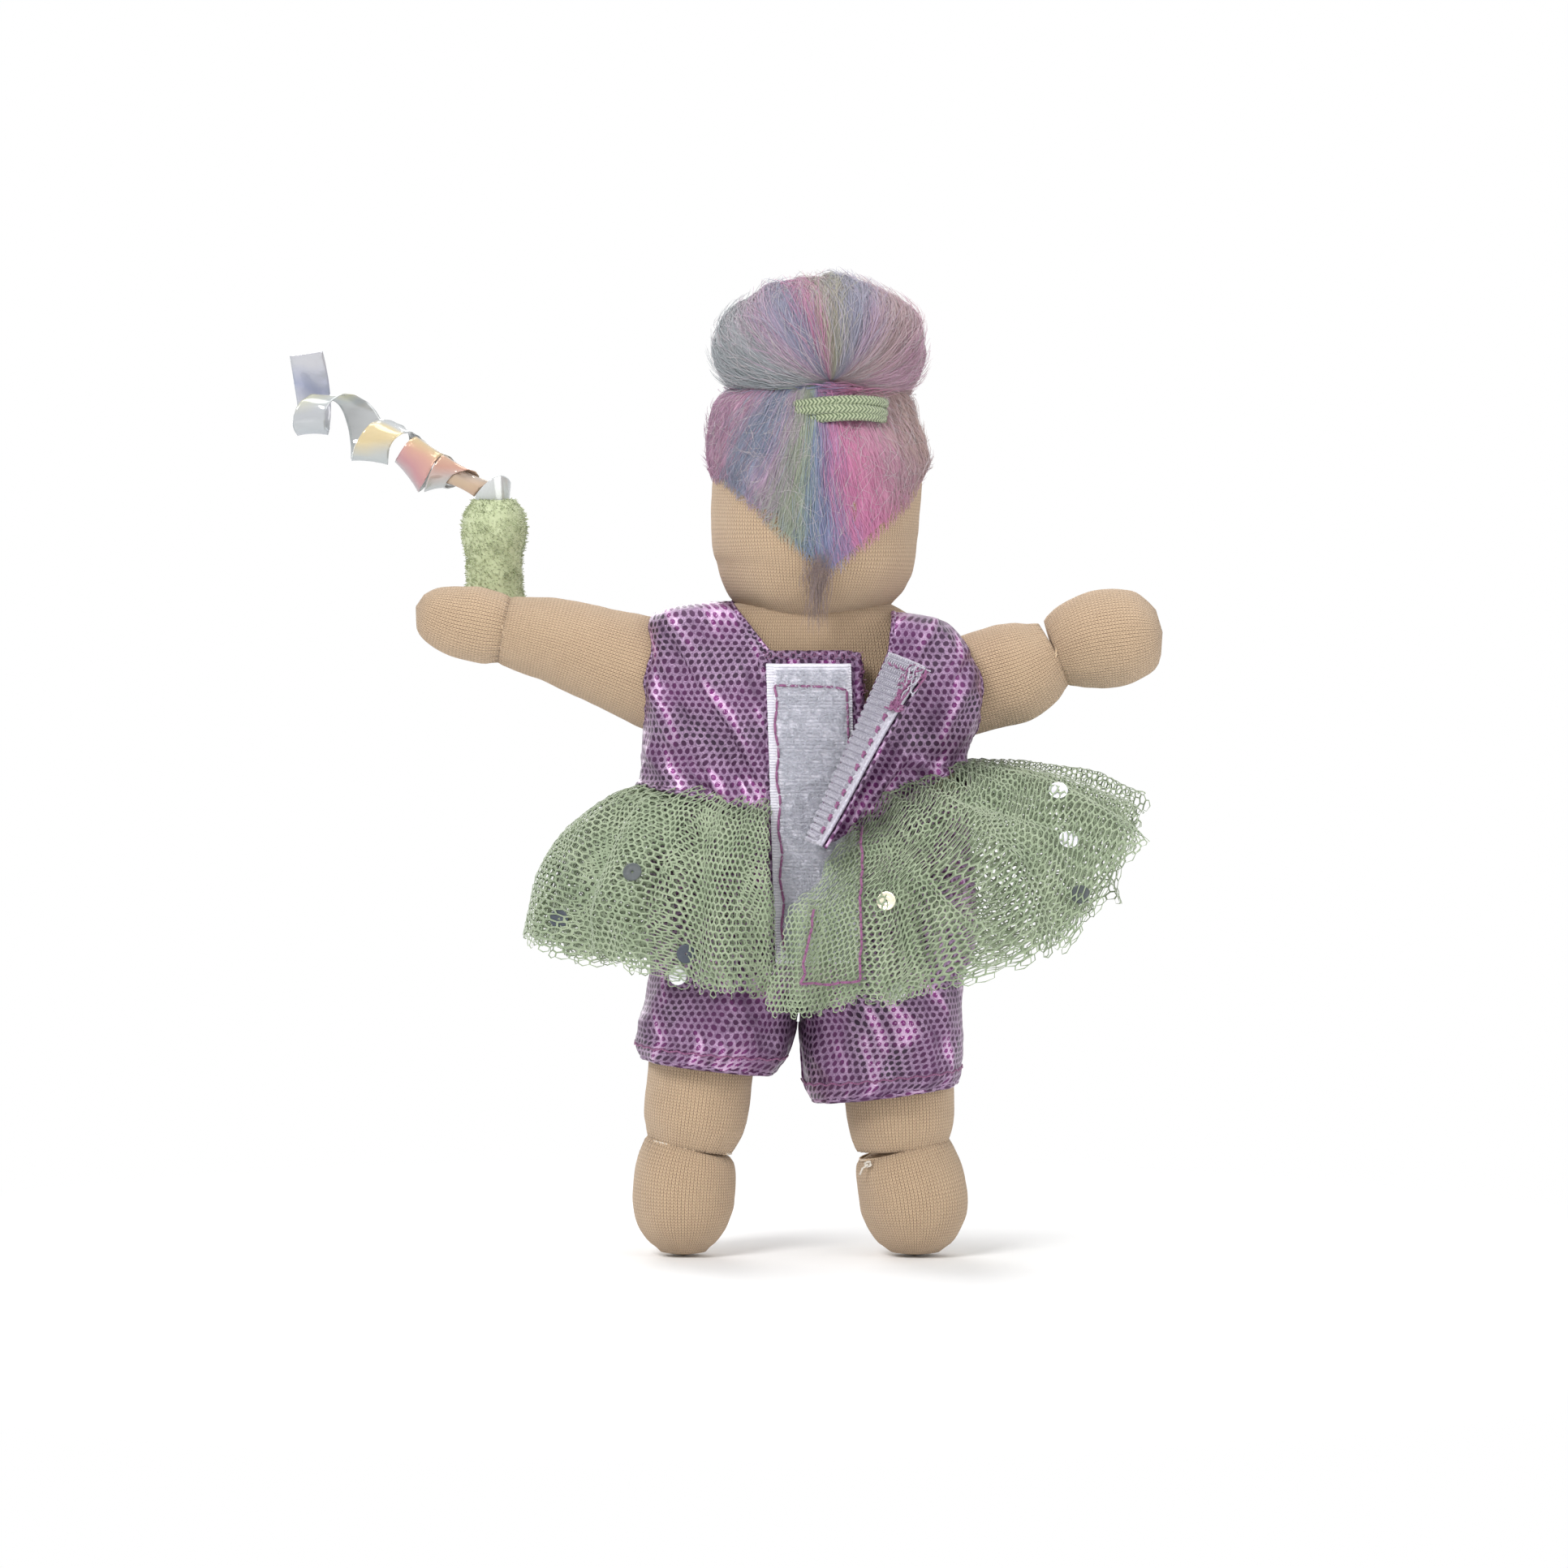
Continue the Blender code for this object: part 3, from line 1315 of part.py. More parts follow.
def build_ribbon(here):
    rows = ribbon_rows()
    shape = bmesh.new()
    bmesh.ops.create_grid(shape, x_segments=1, y_segments=len(rows) - 1, size=1)
    shape.verts.ensure_lookup_table()
    for vertex in shape.verts:
        row = round((vertex.co.y + 1) / 2 * (len(rows) - 1))
        spot, way = rows[row]
        vertex.co = spot + way * vertex.co.x
    mesh = bpy.data.meshes.new("streamer_ribbon")
    shape.to_mesh(mesh)
    shape.free()
    mesh.shade_smooth()
    made = finish(bpy.data.objects.new("streamer_ribbon", mesh), "film", here)
    thick = made.modifiers.new("film", "SOLIDIFY")
    thick.thickness = RIBBON_THICKNESS
    thick.offset = 0
    return made


def stand_on_origin(root):
    """Moves the doll so that the middle of its box's bottom is the origin."""
    bpy.context.view_layer.update()
    graph = bpy.context.evaluated_depsgraph_get()
    low = Vector((math.inf, math.inf, math.inf))
    high = -low
    for made in collection.objects:
        if made.type != "MESH":
            continue
        seen = made.evaluated_get(graph)
        for vertex in seen.data.vertices:
            place = seen.matrix_world @ vertex.co
            low = Vector(map(min, low, place))
            high = Vector(map(max, high, place))
    root.location = (-(low.x + high.x) / 2, -(low.y + high.y) / 2, -low.z)
    bpy.context.view_layer.update()


def main():
    clear_scene()
    root = empty("doll", (0, 0, 0))
    build_torso(root)
    build_head(root)
    left_hand = build_arm(LEFT_ARM, root)
    build_arm(RIGHT_ARM, root)
    for leg in (LEFT_LEG, RIGHT_LEG):
        build_leg(leg, root)
    build_bodice(root, armholes(root))
    build_seat(root)
    build_tape(root)
    build_flap(root)
    outer = skirt_rows(0, *OUTER_NET_FACES)
    build_skirt(root, "skirt_outer", outer)
    build_skirt(root, "skirt_inner", skirt_rows(1, *INNER_NET_FACES))
    build_skirt_trim(root, outer)
    build_popper(left_hand, root)
    stand_on_origin(root)


main()
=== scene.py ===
"""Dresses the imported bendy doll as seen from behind: knit skin, foil playsuit, net skirt and wool hair."""

import itertools
import json
import math
import random

import bmesh
import bpy
import numpy as np
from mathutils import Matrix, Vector, noise


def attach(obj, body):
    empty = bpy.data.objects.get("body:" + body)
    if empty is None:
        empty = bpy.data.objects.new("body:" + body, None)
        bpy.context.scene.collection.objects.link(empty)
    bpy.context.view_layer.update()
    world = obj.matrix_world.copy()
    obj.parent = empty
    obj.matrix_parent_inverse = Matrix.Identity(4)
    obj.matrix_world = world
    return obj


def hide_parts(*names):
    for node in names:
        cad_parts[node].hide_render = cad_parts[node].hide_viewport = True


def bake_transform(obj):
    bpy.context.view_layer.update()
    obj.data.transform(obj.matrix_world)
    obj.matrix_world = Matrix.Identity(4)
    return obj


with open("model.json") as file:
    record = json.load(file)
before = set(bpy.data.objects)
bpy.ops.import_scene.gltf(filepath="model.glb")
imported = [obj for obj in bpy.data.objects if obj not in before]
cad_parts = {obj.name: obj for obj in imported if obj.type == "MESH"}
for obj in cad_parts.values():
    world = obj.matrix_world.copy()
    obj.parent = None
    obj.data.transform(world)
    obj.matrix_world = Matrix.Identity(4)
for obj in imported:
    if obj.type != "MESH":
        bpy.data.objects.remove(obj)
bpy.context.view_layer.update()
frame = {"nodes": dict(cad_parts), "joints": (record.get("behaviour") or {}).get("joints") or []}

MM = 0.001
PIXEL = 0.103 * MM
PHOTO = 1932
TURN = 2 * math.pi
UP = Vector((0, 0, 1))
BACK = Vector((0, 1, 0))
JOINTS = {joint["name"]: joint for joint in frame["joints"]}


def joint_at(name):
    return Vector(JOINTS[name]["pos_m"])


MIDDLE = joint_at("neck_turn")
MIDDLE.z = 0
random.seed(7)


def spot(x, z, y=0.0):
    """A place given by the photograph's pixel column and row, and millimetres towards the doll's back."""
    return MIDDLE + Vector(((1000 - x) * PIXEL, y * MM, (1549 - z) * PIXEL))


def doll(x, y, z):
    """A place in millimetres from the doll's middle."""
    return MIDDLE + Vector((x, y, z)) * MM


def clamp(value, low=0.0, high=1.0):
    return min(max(value, low), high)


def smooth_step(t):
    return t * t * (3 - 2 * t)


# Shader graphs


def linear(red, green, blue):
    """A screen colour, 0 to 255, as linear light."""
    return tuple(((c / 255 + 0.055) / 1.055) ** 2.4 if c > 10 else c / 255 / 12.92 for c in (red, green, blue))


def stops(*rows):
    """The stops of a ramp, from rows of a place and a screen colour."""
    return [(place, linear(*colour)) for place, *colour in rows]


class Value:
    """What a shader node gives. Arithmetic on it makes further nodes."""

    def __init__(self, graph, socket):
        self.graph, self.socket = graph, socket

    def to(self, operation, *others):
        return self.graph.math(operation, self, *others)

    def range(self, low, high, to_low=0.0, to_high=1.0):
        return self.graph.value(0, "MapRange", enumerate((self, low, high, to_low, to_high)))


def shader_operator(operation, swapped):
    def operator(value, other):
        pair = (other, value) if swapped else (value, other)
        return value.graph.math(operation, *pair)

    return operator


for sign, operation in (("add", "ADD"), ("sub", "SUBTRACT"), ("mul", "MULTIPLY"), ("truediv", "DIVIDE"), ("pow", "POWER")):
    setattr(Value, f"__{sign}__", shader_operator(operation, False))
    setattr(Value, f"__r{sign}__", shader_operator(operation, True))


class Graph:
    """Short names for the shader nodes of one material, or of the world."""

    def __init__(self, name, owner=None):
        self.owner = owner or bpy.data.materials.new(name)
        self.owner.use_nodes = True
        self.tree = self.owner.node_tree
        self.shader = self.tree.nodes.get("Principled BSDF")

    def link(self, value, socket):
        value = value.socket if isinstance(value, Value) else value
        if isinstance(value, bpy.types.NodeSocket):
            self.tree.links.new(value, socket)
        elif isinstance(value, tuple) and len(value) == 3 and len(socket.default_value) == 4:
            socket.default_value = (*value, 1)
        else:
            socket.default_value = value

    def node(self, kind, inputs=(), **settings):
        made = self.tree.nodes.new("ShaderNode" + kind)
        for key, value in settings.items():
            setattr(made, key, value)
        for key, value in dict(inputs).items():
            self.link(value, made.inputs[key])
        return made

    def value(self, output, kind, inputs=(), **settings):
        return Value(self, self.node(kind, inputs, **settings).outputs[output])

    def math(self, operation, *values):
        return self.value(0, "Math", enumerate(values), operation=operation)

    def uv(self):
        made = self.node("SeparateXYZ", {0: self.value(0, "UVMap")})
        return Value(self, made.outputs[0]), Value(self, made.outputs[1])

    def place(self):
        return self.value("Object", "TexCoord")

    def join(self, x, y):
        return self.value(0, "CombineXYZ", {0: x, 1: y})

    def noise(self, vector, scale, detail=2.0, rough=0.5):
        inputs = {"Vector": vector, "Scale": scale, "Detail": detail, "Roughness": rough}
        return self.value("Fac", "TexNoise", inputs)

    def ramp(self, value, table):
        made = self.node("ValToRGB", {0: value})
        elements = made.color_ramp.elements
        while len(elements) < len(table):
            elements.new(0.5)
        for element, (place, colour) in zip(elements, table):
            element.position = place
            element.color = (*colour, 1)
        return Value(self, made.outputs[0])

    def mix(self, share, first, second, blend="MIX"):
        return self.value(2, "Mix", {0: share, 6: first, 7: second}, data_type="RGBA", blend_type=blend)

    def bump(self, height, strength, distance):
        return self.value(0, "Bump", {"Height": height, "Strength": strength, "Distance": distance})

    def seen(self):
        """1 for rays that show the background: from the camera, off a mirror or through glass."""
        rays = self.node("LightPath").outputs
        camera, glossy, through = (Value(self, rays[f"Is {kind} Ray"]) for kind in ("Camera", "Glossy", "Transmission"))
        return camera.to("MAXIMUM", glossy.to("MAXIMUM", through))

    def blend_out(self, share, first, second):
        """Sends a blend of two shaders to the tree's output."""
        mixed = self.node("MixShader", {0: share, 1: first, 2: second})
        end = next(node for node in self.tree.nodes if node.bl_idname.startswith("ShaderNodeOutput"))
        self.link(mixed.outputs[0], end.inputs["Surface"])

    def finish(self, colour, roughness, normal=None, **sockets):
        sockets.update(Base_Color=colour, Roughness=roughness)
        if normal is not None:
            sockets["Normal"] = normal
        for key, value in sockets.items():
            self.link(value, self.shader.inputs[key.replace("_", " ")])
        return self.owner


def jersey(name, colour, shade):
    """Plain knit: one UV unit is one stitch, whose two legs lean together; the gaps between the legs are painted dark,
    as painted shade.
    """
    g = Graph(name)
    across, along = g.uv()
    side = (across.to("FRACT") - 0.5).to("ABSOLUTE")
    leg = 1.0 - ((side - 0.22) * 3.6) ** 2.0
    row = (along + side * 1.5).to("FRACT")
    height = leg**0.7 * ((row * math.pi).to("SINE") * 0.5 + 0.5)
    place = g.place()
    patch, fuzz = g.noise(place, 220, 3), g.noise(place, 6000, 2)
    # Painted shade: where the stitch height is low, in the gaps between the legs, the colour mixes towards the dark
    # shade colour.
    base = g.mix((height * 0.8 + fuzz * 0.3).range(0.25, 0.95), shade, colour)
    base = g.mix(patch.range(0.35, 0.7, 0.0, 0.22), base, tuple(c * 0.8 for c in colour))
    return g.finish(base, 0.92, g.bump(height + fuzz * 0.4, 0.7, 0.0002), Sheen_Weight=0.2, Sheen_Roughness=0.6)


def foil_mesh(name):
    """Lilac foil cloth with a close hexagonal layout of dark round dots; one UV unit is a millimetre. Long diagonal
    folds are painted into its colour: painted highlights and glints on their crests, painted shade in their hollows.
    """
    g = Graph(name)
    across, along = g.uv()
    pitch = 0.97
    row = pitch * math.sqrt(3)
    place = g.place()
    ridge, run = across * 0.89 + along * 0.45, along * 0.89 - across * 0.45
    # A stretched noise across long diagonal folds; it sets only the painted highlights, glints and shade below.
    painted_fold_light = g.noise(g.join(ridge * 0.4, run * 0.1), 1.0, 2)
    across = across + (g.noise(place, 120, 1) - 0.5) * 1.7
    along = along + (g.noise(place, 150, 1) - 0.5) * 1.5

    def distance(shift):
        x = ((across / pitch + shift).to("FRACT") - 0.5) * pitch
        y = ((along / row + shift).to("FRACT") - 0.5) * row
        return (x * x + y * y).to("SQRT")

    wobble = (g.noise(place, 1500, 2) - 0.5) * 0.12
    dot = (distance(0.0).to("MINIMUM", distance(0.5)) + wobble).range(0.28, 0.36, 1.0, 0.0)
    grain, patch = g.noise(place, 5200, 2, 0.7), g.noise(place, 160, 3)
    # Mask of the painted highlights on the fold crests.
    high = painted_fold_light.range(0.56, 0.7)
    foil = g.mix(grain.range(0.3, 0.7), linear(96, 72, 100), linear(176, 148, 178))
    foil = g.mix(patch.range(0.4, 0.75, 0.0, 0.4), foil, linear(132, 84, 134))
    # Painted highlight: the foil turns pale pink on the fold crests.
    foil = g.mix(high * 0.75, foil, linear(222, 186, 222))
    deep = g.mix(patch.range(0.35, 0.65), linear(42, 18, 44), linear(82, 30, 80))
    # Painted highlight: the dots turn magenta on the fold crests.
    deep = g.mix(high, deep, linear(128, 34, 120))
    base = g.mix(dot, foil, deep)
    # Painted shade: dark purple in the fold hollows.
    base = g.mix(painted_fold_light.range(0.46, 0.32, 0.0, 0.45), base, linear(58, 26, 62))
    # Painted glints: pale pink specks on the brightest fold crests.
    base = g.mix(painted_fold_light.range(0.6, 0.68) * grain.range(0.56, 0.68), base, linear(250, 214, 246))
    rough = dot.range(0.0, 1.0, 0.28, 0.36) + grain * 0.14
    lift = g.bump(dot * -0.6 + grain * 0.8, 0.5, 0.00012)
    return g.finish(base, rough, lift, Metallic=dot.range(0.0, 1.0, 0.34, 0.3))


def net_thread(name, colour, dark):
    """Fine nylon thread with paler glints."""
    g = Graph(name)
    place = g.place()
    base = g.mix(g.noise(place, 260, 3).range(0.3, 0.7), dark, colour)
    base = g.mix(g.noise(place, 7000, 1).range(0.35, 0.7, 0.0, 0.25), base, linear(190, 206, 176))
    return g.finish(base, 0.62, g.bump(g.noise(place, 9000, 1), 0.3, 0.00005), Sheen_Weight=0.3)


def brushed_tape(name, colour, dark):
    """Napped tape with faint woven bars."""
    g = Graph(name)
    _, along = g.uv()
    tone = (along * (TURN / 0.62)).to("SINE") * 0.08 + g.noise(g.place(), 3600, 3, 0.7)
    return g.finish(g.mix(tone.range(0.3, 0.72), dark, colour), 0.6, g.bump(tone, 0.6, 0.00015), Sheen_Weight=0.4)


def fibre(name, colour, dark, scale=2500, rough=0.7):
    """Thread, pile or elastic: a fine mottled fibre."""
    g = Graph(name)
    tone = g.noise(g.place(), scale, 3, 0.65)
    return g.finish(g.mix(tone.range(0.3, 0.7), dark, colour), rough, g.bump(tone, 0.5, 0.0001), Sheen_Weight=0.3)


def wool(name, table):
    """Combed roving: UV X picks the colour streak and UV Y runs along the fibres."""
    g = Graph(name)
    across, along = g.uv()

    def strands(close, far, detail, rough=0.5):
        return g.noise(g.join(across * close, along * far), 1.0, detail, rough)

    drift, fine, middle = strands(7.0, 0.9, 3), strands(300.0, 3.0, 3, 0.7), strands(60.0, 1.4, 2)
    base = g.ramp(across + (drift - 0.5) * 0.11 + (fine - 0.5) * 0.07, table)
    dark = g.mix(1.0, base, linear(214, 210, 216), "MULTIPLY")
    base = g.mix((fine * 0.6 + middle * 0.5).range(0.3, 0.8), dark, base)
    base = g.mix(fine.range(0.55, 0.8) * 0.35, base, linear(206, 200, 206))
    return g.finish(base, 0.85, g.bump(fine + middle * 0.8, 0.6, 0.0002), Sheen_Weight=0.4, Sheen_Roughness=0.4)


def braid(name, colour, dark):
    """Braided elastic: UV X counts chevrons along the band and UV Y goes across it; the grooves between the chevron
    ridges are painted dark, as painted shade.
    """
    g = Graph(name)
    across, along = g.uv()
    lean = ((along * 2.0).to("FRACT") - 0.5).to("ABSOLUTE")
    ridge = ((across + lean * 1.6).to("FRACT") * math.pi).to("SINE")
    tone = ridge * 0.8 + g.noise(g.place(), 4200, 2) * 0.4
    # The chevron pattern, with painted shade: the colour mixes towards the dark colour in the grooves between the
    # ridges.
    return g.finish(g.mix(tone.range(0.35, 1.0), dark, colour), 0.6, g.bump(tone, 0.8, 0.0002), Sheen_Weight=0.3)


def film(name, table, alpha, rough=0.12):
    """Clear film with bands of reflected colour along UV Y."""
    g = Graph(name)
    place = g.place()
    base = g.ramp(g.uv()[1] + (g.noise(place, 90, 2) - 0.5) * 0.12, table)
    lift = g.bump(g.noise(place, 420, 4, 0.6), 0.25, 0.0002)
    gloss = {"Thin_Film_Thickness": 420, "Thin_Film_IOR": 1.45, "Coat_Weight": 0.6, "Coat_Roughness": 0.08}
    return g.finish(base, rough, lift, Alpha=alpha, Metallic=0.25, **gloss)


def sequin_film(name, tints, metal=0.35, rough=0.12):
    """Thin iridescent film, whose tint turns with the angle it is seen at."""
    g = Graph(name)
    facing = g.value("Facing", "LayerWeight", {"Blend": 0.5})
    streak = g.noise(g.join(g.uv()[0] * 9.0, 0.0), 1.0, 1)
    return g.finish(g.ramp(facing + (streak - 0.5) * 0.9, tints), rough, Metallic=metal, Alpha=0.94, Coat_Weight=metal)


# The knit's colour, and the dark colour painted into the gaps between stitches as painted shade.
SKIN = jersey("skin_jersey", linear(217, 188, 154), linear(92, 62, 40))
# The playsuit's foil, with painted fold highlights, glints and shade.
SUIT = foil_mesh("suit_foil_mesh")
TULLE = net_thread("tulle_net", linear(152, 164, 136), linear(120, 136, 106))
TAPE = brushed_tape("loop_tape_nylon", linear(238, 236, 243), linear(212, 210, 222))
TAPE_PILE = fibre("loop_pile_nylon", linear(226, 228, 236), linear(206, 208, 220), 3000, 0.3)
HOOKS = fibre("hook_nylon", linear(212, 210, 220), linear(154, 150, 166), 3000, 0.35)
MAUVE = fibre("mauve_thread", linear(160, 98, 142), linear(104, 52, 92), 5000)
WHITE = fibre("white_thread", linear(236, 230, 220), linear(190, 180, 166), 5000)
SWEPT_STREAKS = stops(
    (0.00, 208, 172, 197), (0.07, 215, 170, 195), (0.13, 160, 170, 189), (0.20, 158, 170, 193),
    (0.25, 201, 172, 197), (0.32, 181, 187, 178), (0.39, 185, 196, 165), (0.46, 151, 172, 189),
    (0.54, 149, 161, 195), (0.61, 179, 153, 191), (0.66, 224, 148, 191), (0.76, 231, 150, 189),
    (0.85, 210, 164, 182), (0.93, 201, 172, 172), (1.00, 199, 174, 165),
)
BUN_STREAKS = stops(
    (0.00, 169, 179, 181), (0.08, 179, 181, 185), (0.13, 210, 173, 197), (0.20, 163, 164, 185),
    (0.29, 158, 160, 183), (0.34, 215, 143, 181), (0.40, 210, 156, 183), (0.45, 190, 175, 166),
    (0.54, 185, 186, 160), (0.60, 169, 168, 183), (0.70, 169, 171, 191), (0.78, 199, 173, 197),
    (0.84, 199, 173, 174), (0.93, 203, 175, 176), (1.00, 219, 177, 200),
)
WOOL = wool("hair_wool_swept", SWEPT_STREAKS)
BUN_WOOL = wool("hair_wool_bun", BUN_STREAKS)
CREASE = fibre("crease_thread", linear(226, 206, 176), linear(188, 156, 122), 5000)
# The elastic's colour, and the dark colour painted into the braid's grooves as painted shade.
ELASTIC = braid("green_elastic", linear(172, 182, 148), linear(84, 102, 70))
PLUSH = fibre("green_plush", linear(194, 202, 166), linear(172, 182, 142), 1400, 0.95)
PALE = fibre("hair_pale_fibres", linear(214, 204, 204), linear(176, 166, 176), 3000, 0.9)
NAPE = fibre("hair_nape_fibres", linear(160, 138, 130), linear(122, 102, 104), 3000, 0.9)
BEAD = fibre("eye_bead", (0.02, 0.016, 0.014), (0.012, 0.009, 0.008), 900, 0.12)
STEEL = fibre("armature_steel", (0.55, 0.55, 0.55), (0.4, 0.4, 0.4), 3000, 0.35)
# The film's milky grey along the ribbon, with painted reflections: a blue-grey sheen band near the free end, and
# yellow, gold and rose patches on the curls and at the collar.
STREAMER_TINT_AND_REFLECTIONS = stops(
    (0.00, 190, 191, 198), (0.035, 164, 170, 194), (0.06, 196, 197, 205), (0.10, 186, 189, 196),
    (0.18, 182, 186, 190), (0.21, 206, 204, 178), (0.23, 184, 188, 190), (0.37, 184, 188, 190),
    (0.395, 216, 198, 154), (0.42, 218, 200, 158), (0.435, 186, 189, 190), (0.57, 184, 187, 189),
    (0.60, 194, 144, 150), (0.635, 208, 162, 146), (0.665, 216, 190, 146), (0.69, 188, 190, 191),
    (0.78, 186, 188, 190), (0.82, 198, 154, 138), (0.86, 216, 186, 154), (0.90, 200, 158, 138),
    (0.95, 208, 180, 154), (1.00, 192, 184, 178),
)
RIBBON = film("streamer_film", STREAMER_TINT_AND_REFLECTIONS, 0.86)
COLLAR = film("collar_film", stops((0.0, 192, 200, 190), (1.0, 206, 209, 210)), 0.85, 0.2)


def sequin_tints(first, second, third):
    return stops((0.1, *first), (0.45, *second), (0.8, *third))


SEQUINS = [
    sequin_film("sequin_slate", sequin_tints((64, 70, 72), (84, 90, 94), (108, 114, 112)), 0.0, 0.5),
    sequin_film("sequin_smoke", sequin_tints((70, 76, 88), (86, 94, 106), (108, 120, 130)), 0.0, 0.5),
    sequin_film("sequin_pearl", sequin_tints((226, 228, 226), (206, 216, 206), (240, 214, 220))),
    sequin_film("sequin_gold", sequin_tints((238, 232, 208), (226, 206, 170), (240, 240, 240))),
    sequin_film("sequin_ice", sequin_tints((236, 238, 238), (222, 214, 232), (196, 224, 238))),
]


# Meshes


def add_object(name, vertices, faces, uvs=None, material=None, smooth=True):
    """An object from vertices, faces and a UV for each face corner."""
    mesh = bpy.data.meshes.new(name)
    mesh.from_pydata([tuple(v) for v in vertices], [], faces)
    if uvs is not None:
        layer = mesh.uv_layers.new(name="UVMap")
        layer.data.foreach_set("uv", np.asarray(uvs, np.float32).ravel())
    if smooth:
        mesh.shade_smooth()
    made = bpy.data.objects.new(name, mesh)
    bpy.context.scene.collection.objects.link(made)
    if material:
        mesh.materials.append(material)
    return made


def ring_faces(base, rings, sides, closed=False):
    """Faces between rings of points that follow each other in a mesh, from the point numbered base."""
    faces = []
    for k in range(rings if closed else rings - 1):
        here, ahead = base + k * sides, base + (k + 1) % rings * sides
        for i in range(sides):
            m = (i + 1) % sides
            faces.append((here + i, here + m, ahead + m, ahead + i))
    return faces


def ring_points(middle, side, over, radius, sides):
    """Points in a ring round the middle of a path."""
    angles = (TURN * i / sides for i in range(sides))
    return [middle + (side * math.cos(angle) + over * math.sin(angle)) * radius for angle in angles]


def carried(side, along):
    """The direction across a path that is nearest to the one before, and the direction across both."""
    side = along.orthogonal().normalized() if side is None else side
    side = (side - along * side.dot(along)).normalized()
    return side, along.cross(side)


def surface(name, rows, uv_rows, material, caps=(False, False)):
    """A tube through rings of points; each row of UVs has one entry more, where the ring closes."""
    wide, last = len(rows[0]), len(rows) - 1
    vertices = [point for row in rows for point in row]
    faces, uvs = ring_faces(0, last + 1, wide), []
    for near, far in zip(uv_rows, uv_rows[1:]):
        for i in range(wide):
            uvs += [near[i], near[i + 1], far[i + 1], far[i]]
    for j in (row for row, capped in zip((0, last), caps) if capped):
        hub = len(vertices)
        vertices.append(sum(rows[j], Vector()) / wide)
        for i in range(wide):
            (u0, v), (u1, _) = uv_rows[j][i], uv_rows[j][i + 1]
            fan = [(j * wide + i, (u0, v)), (hub, ((u0 + u1) / 2, v)), (j * wide + (i + 1) % wide, uv_rows[j][i + 1])]
            fan = fan if j == 0 else fan[::-1]
            faces.append([index for index, _ in fan])
            uvs += [place for _, place in fan]
    made = add_object(name, vertices, faces, uvs, material)
    outward(made)
    return made


def outward(made):
    """Turns the faces of a closed form outwards."""
    shape = bmesh.new()
    shape.from_mesh(made.data)
    bmesh.ops.recalc_face_normals(shape, faces=shape.faces)
    shape.to_mesh(made.data)
    shape.free()


def eased(rows, place):
    """Values of a table at a place in its first column, with a smooth curve through its rows."""
    rows = [list(map(float, row)) for row in rows]
    if place <= rows[0][0]:
        return rows[0][1:]
    for k in range(len(rows) - 1):
        a, b = rows[k], rows[k + 1]
        if place <= b[0]:
            before = rows[k - 1] if k else a
            after = rows[k + 2] if k + 2 < len(rows) else b
            t = (place - a[0]) / (b[0] - a[0])
            found = []
            for c in range(1, len(a)):
                span = b[0] - a[0]
                m0 = (b[c] - before[c]) / max(b[0] - before[0], 1e-9) * span
                m1 = (after[c] - a[c]) / max(after[0] - a[0], 1e-9) * span
                h = (2 * t**3 - 3 * t**2 + 1) * a[c] + (t**3 - 2 * t**2 + t) * m0
                h += (-2 * t**3 + 3 * t**2) * b[c] + (t**3 - t**2) * m1
                found.append(h)
            return found
    return rows[-1][1:]


def lump(point, size, strength):
    """A slow unevenness of stuffed cloth."""
    return noise.noise(point / size) * strength


STITCH_WIDE = 0.47 * MM
STITCH_TALL = 0.40 * MM
KNIT_STEP = 0.55 * MM


def limb(name, stations, sides=72, flat=0.96, pleats=()):
    """A stuffed limb through stations of (place, half thickness); pleats are gathers at a tied end.

    Each of the pleats is (share along the limb, reach in metres, depth, count).
    """
    table = [(0.0, *stations[0][0], stations[0][1])]
    for (a, _), (b, radius) in zip(stations, stations[1:]):
        table.append((table[-1][0] + (b - a).length, *b, radius))
    length = table[-1][0]
    count = max(int(length / KNIT_STEP), 6)
    spots = []
    for j in range(count + 1):
        x, y, z, radius = eased(table, length * j / count)
        spots.append((Vector((x, y, z)), max(radius, 0.0002 * MM)))
    widest = max(radius for _, radius in spots)
    wales = round(TURN * widest / STITCH_WIDE)
    rows, uvs = [], []
    travelled = 0.0
    for j, (centre, radius) in enumerate(spots):
        ahead = spots[min(j + 1, count)][0] - spots[max(j - 1, 0)][0]
        along = ahead.normalized() if ahead.length > 1e-9 else Vector((0, 0, -1))
        over = BACK.cross(along).normalized()
        if j:
            drop = spots[j - 1][1] - radius
            travelled += math.hypot((centre - spots[j - 1][0]).length, drop)
        row = []
        for i in range(sides):
            angle = TURN * i / sides
            way = over * math.cos(angle) + BACK * math.sin(angle) * flat
            here = radius
            for share, reach, depth, number in pleats:
                far = abs(j / count - share) * length / reach
                if far < 3:
                    phase = number * angle + 1.3 * math.sin(3 * angle)
                    here += depth * math.exp(-far * far) * math.sin(phase)
            point = centre + way * here
            point += way * lump(point, 5 * MM, 0.16 * MM) + way * lump(point, 1.6 * MM, 0.05 * MM)
            row.append(point)
        rows.append(row)
        uvs.append([(wales * i / sides, travelled / STITCH_TALL) for i in range(sides + 1)])
    return surface(name, rows, uvs, SKIN, caps=(True, True))


def pixels(*rows):
    """Stations from (column, row, half thickness) in the photograph's pixels."""
    return [(spot(x, z), r * PIXEL) for x, z, r in rows]


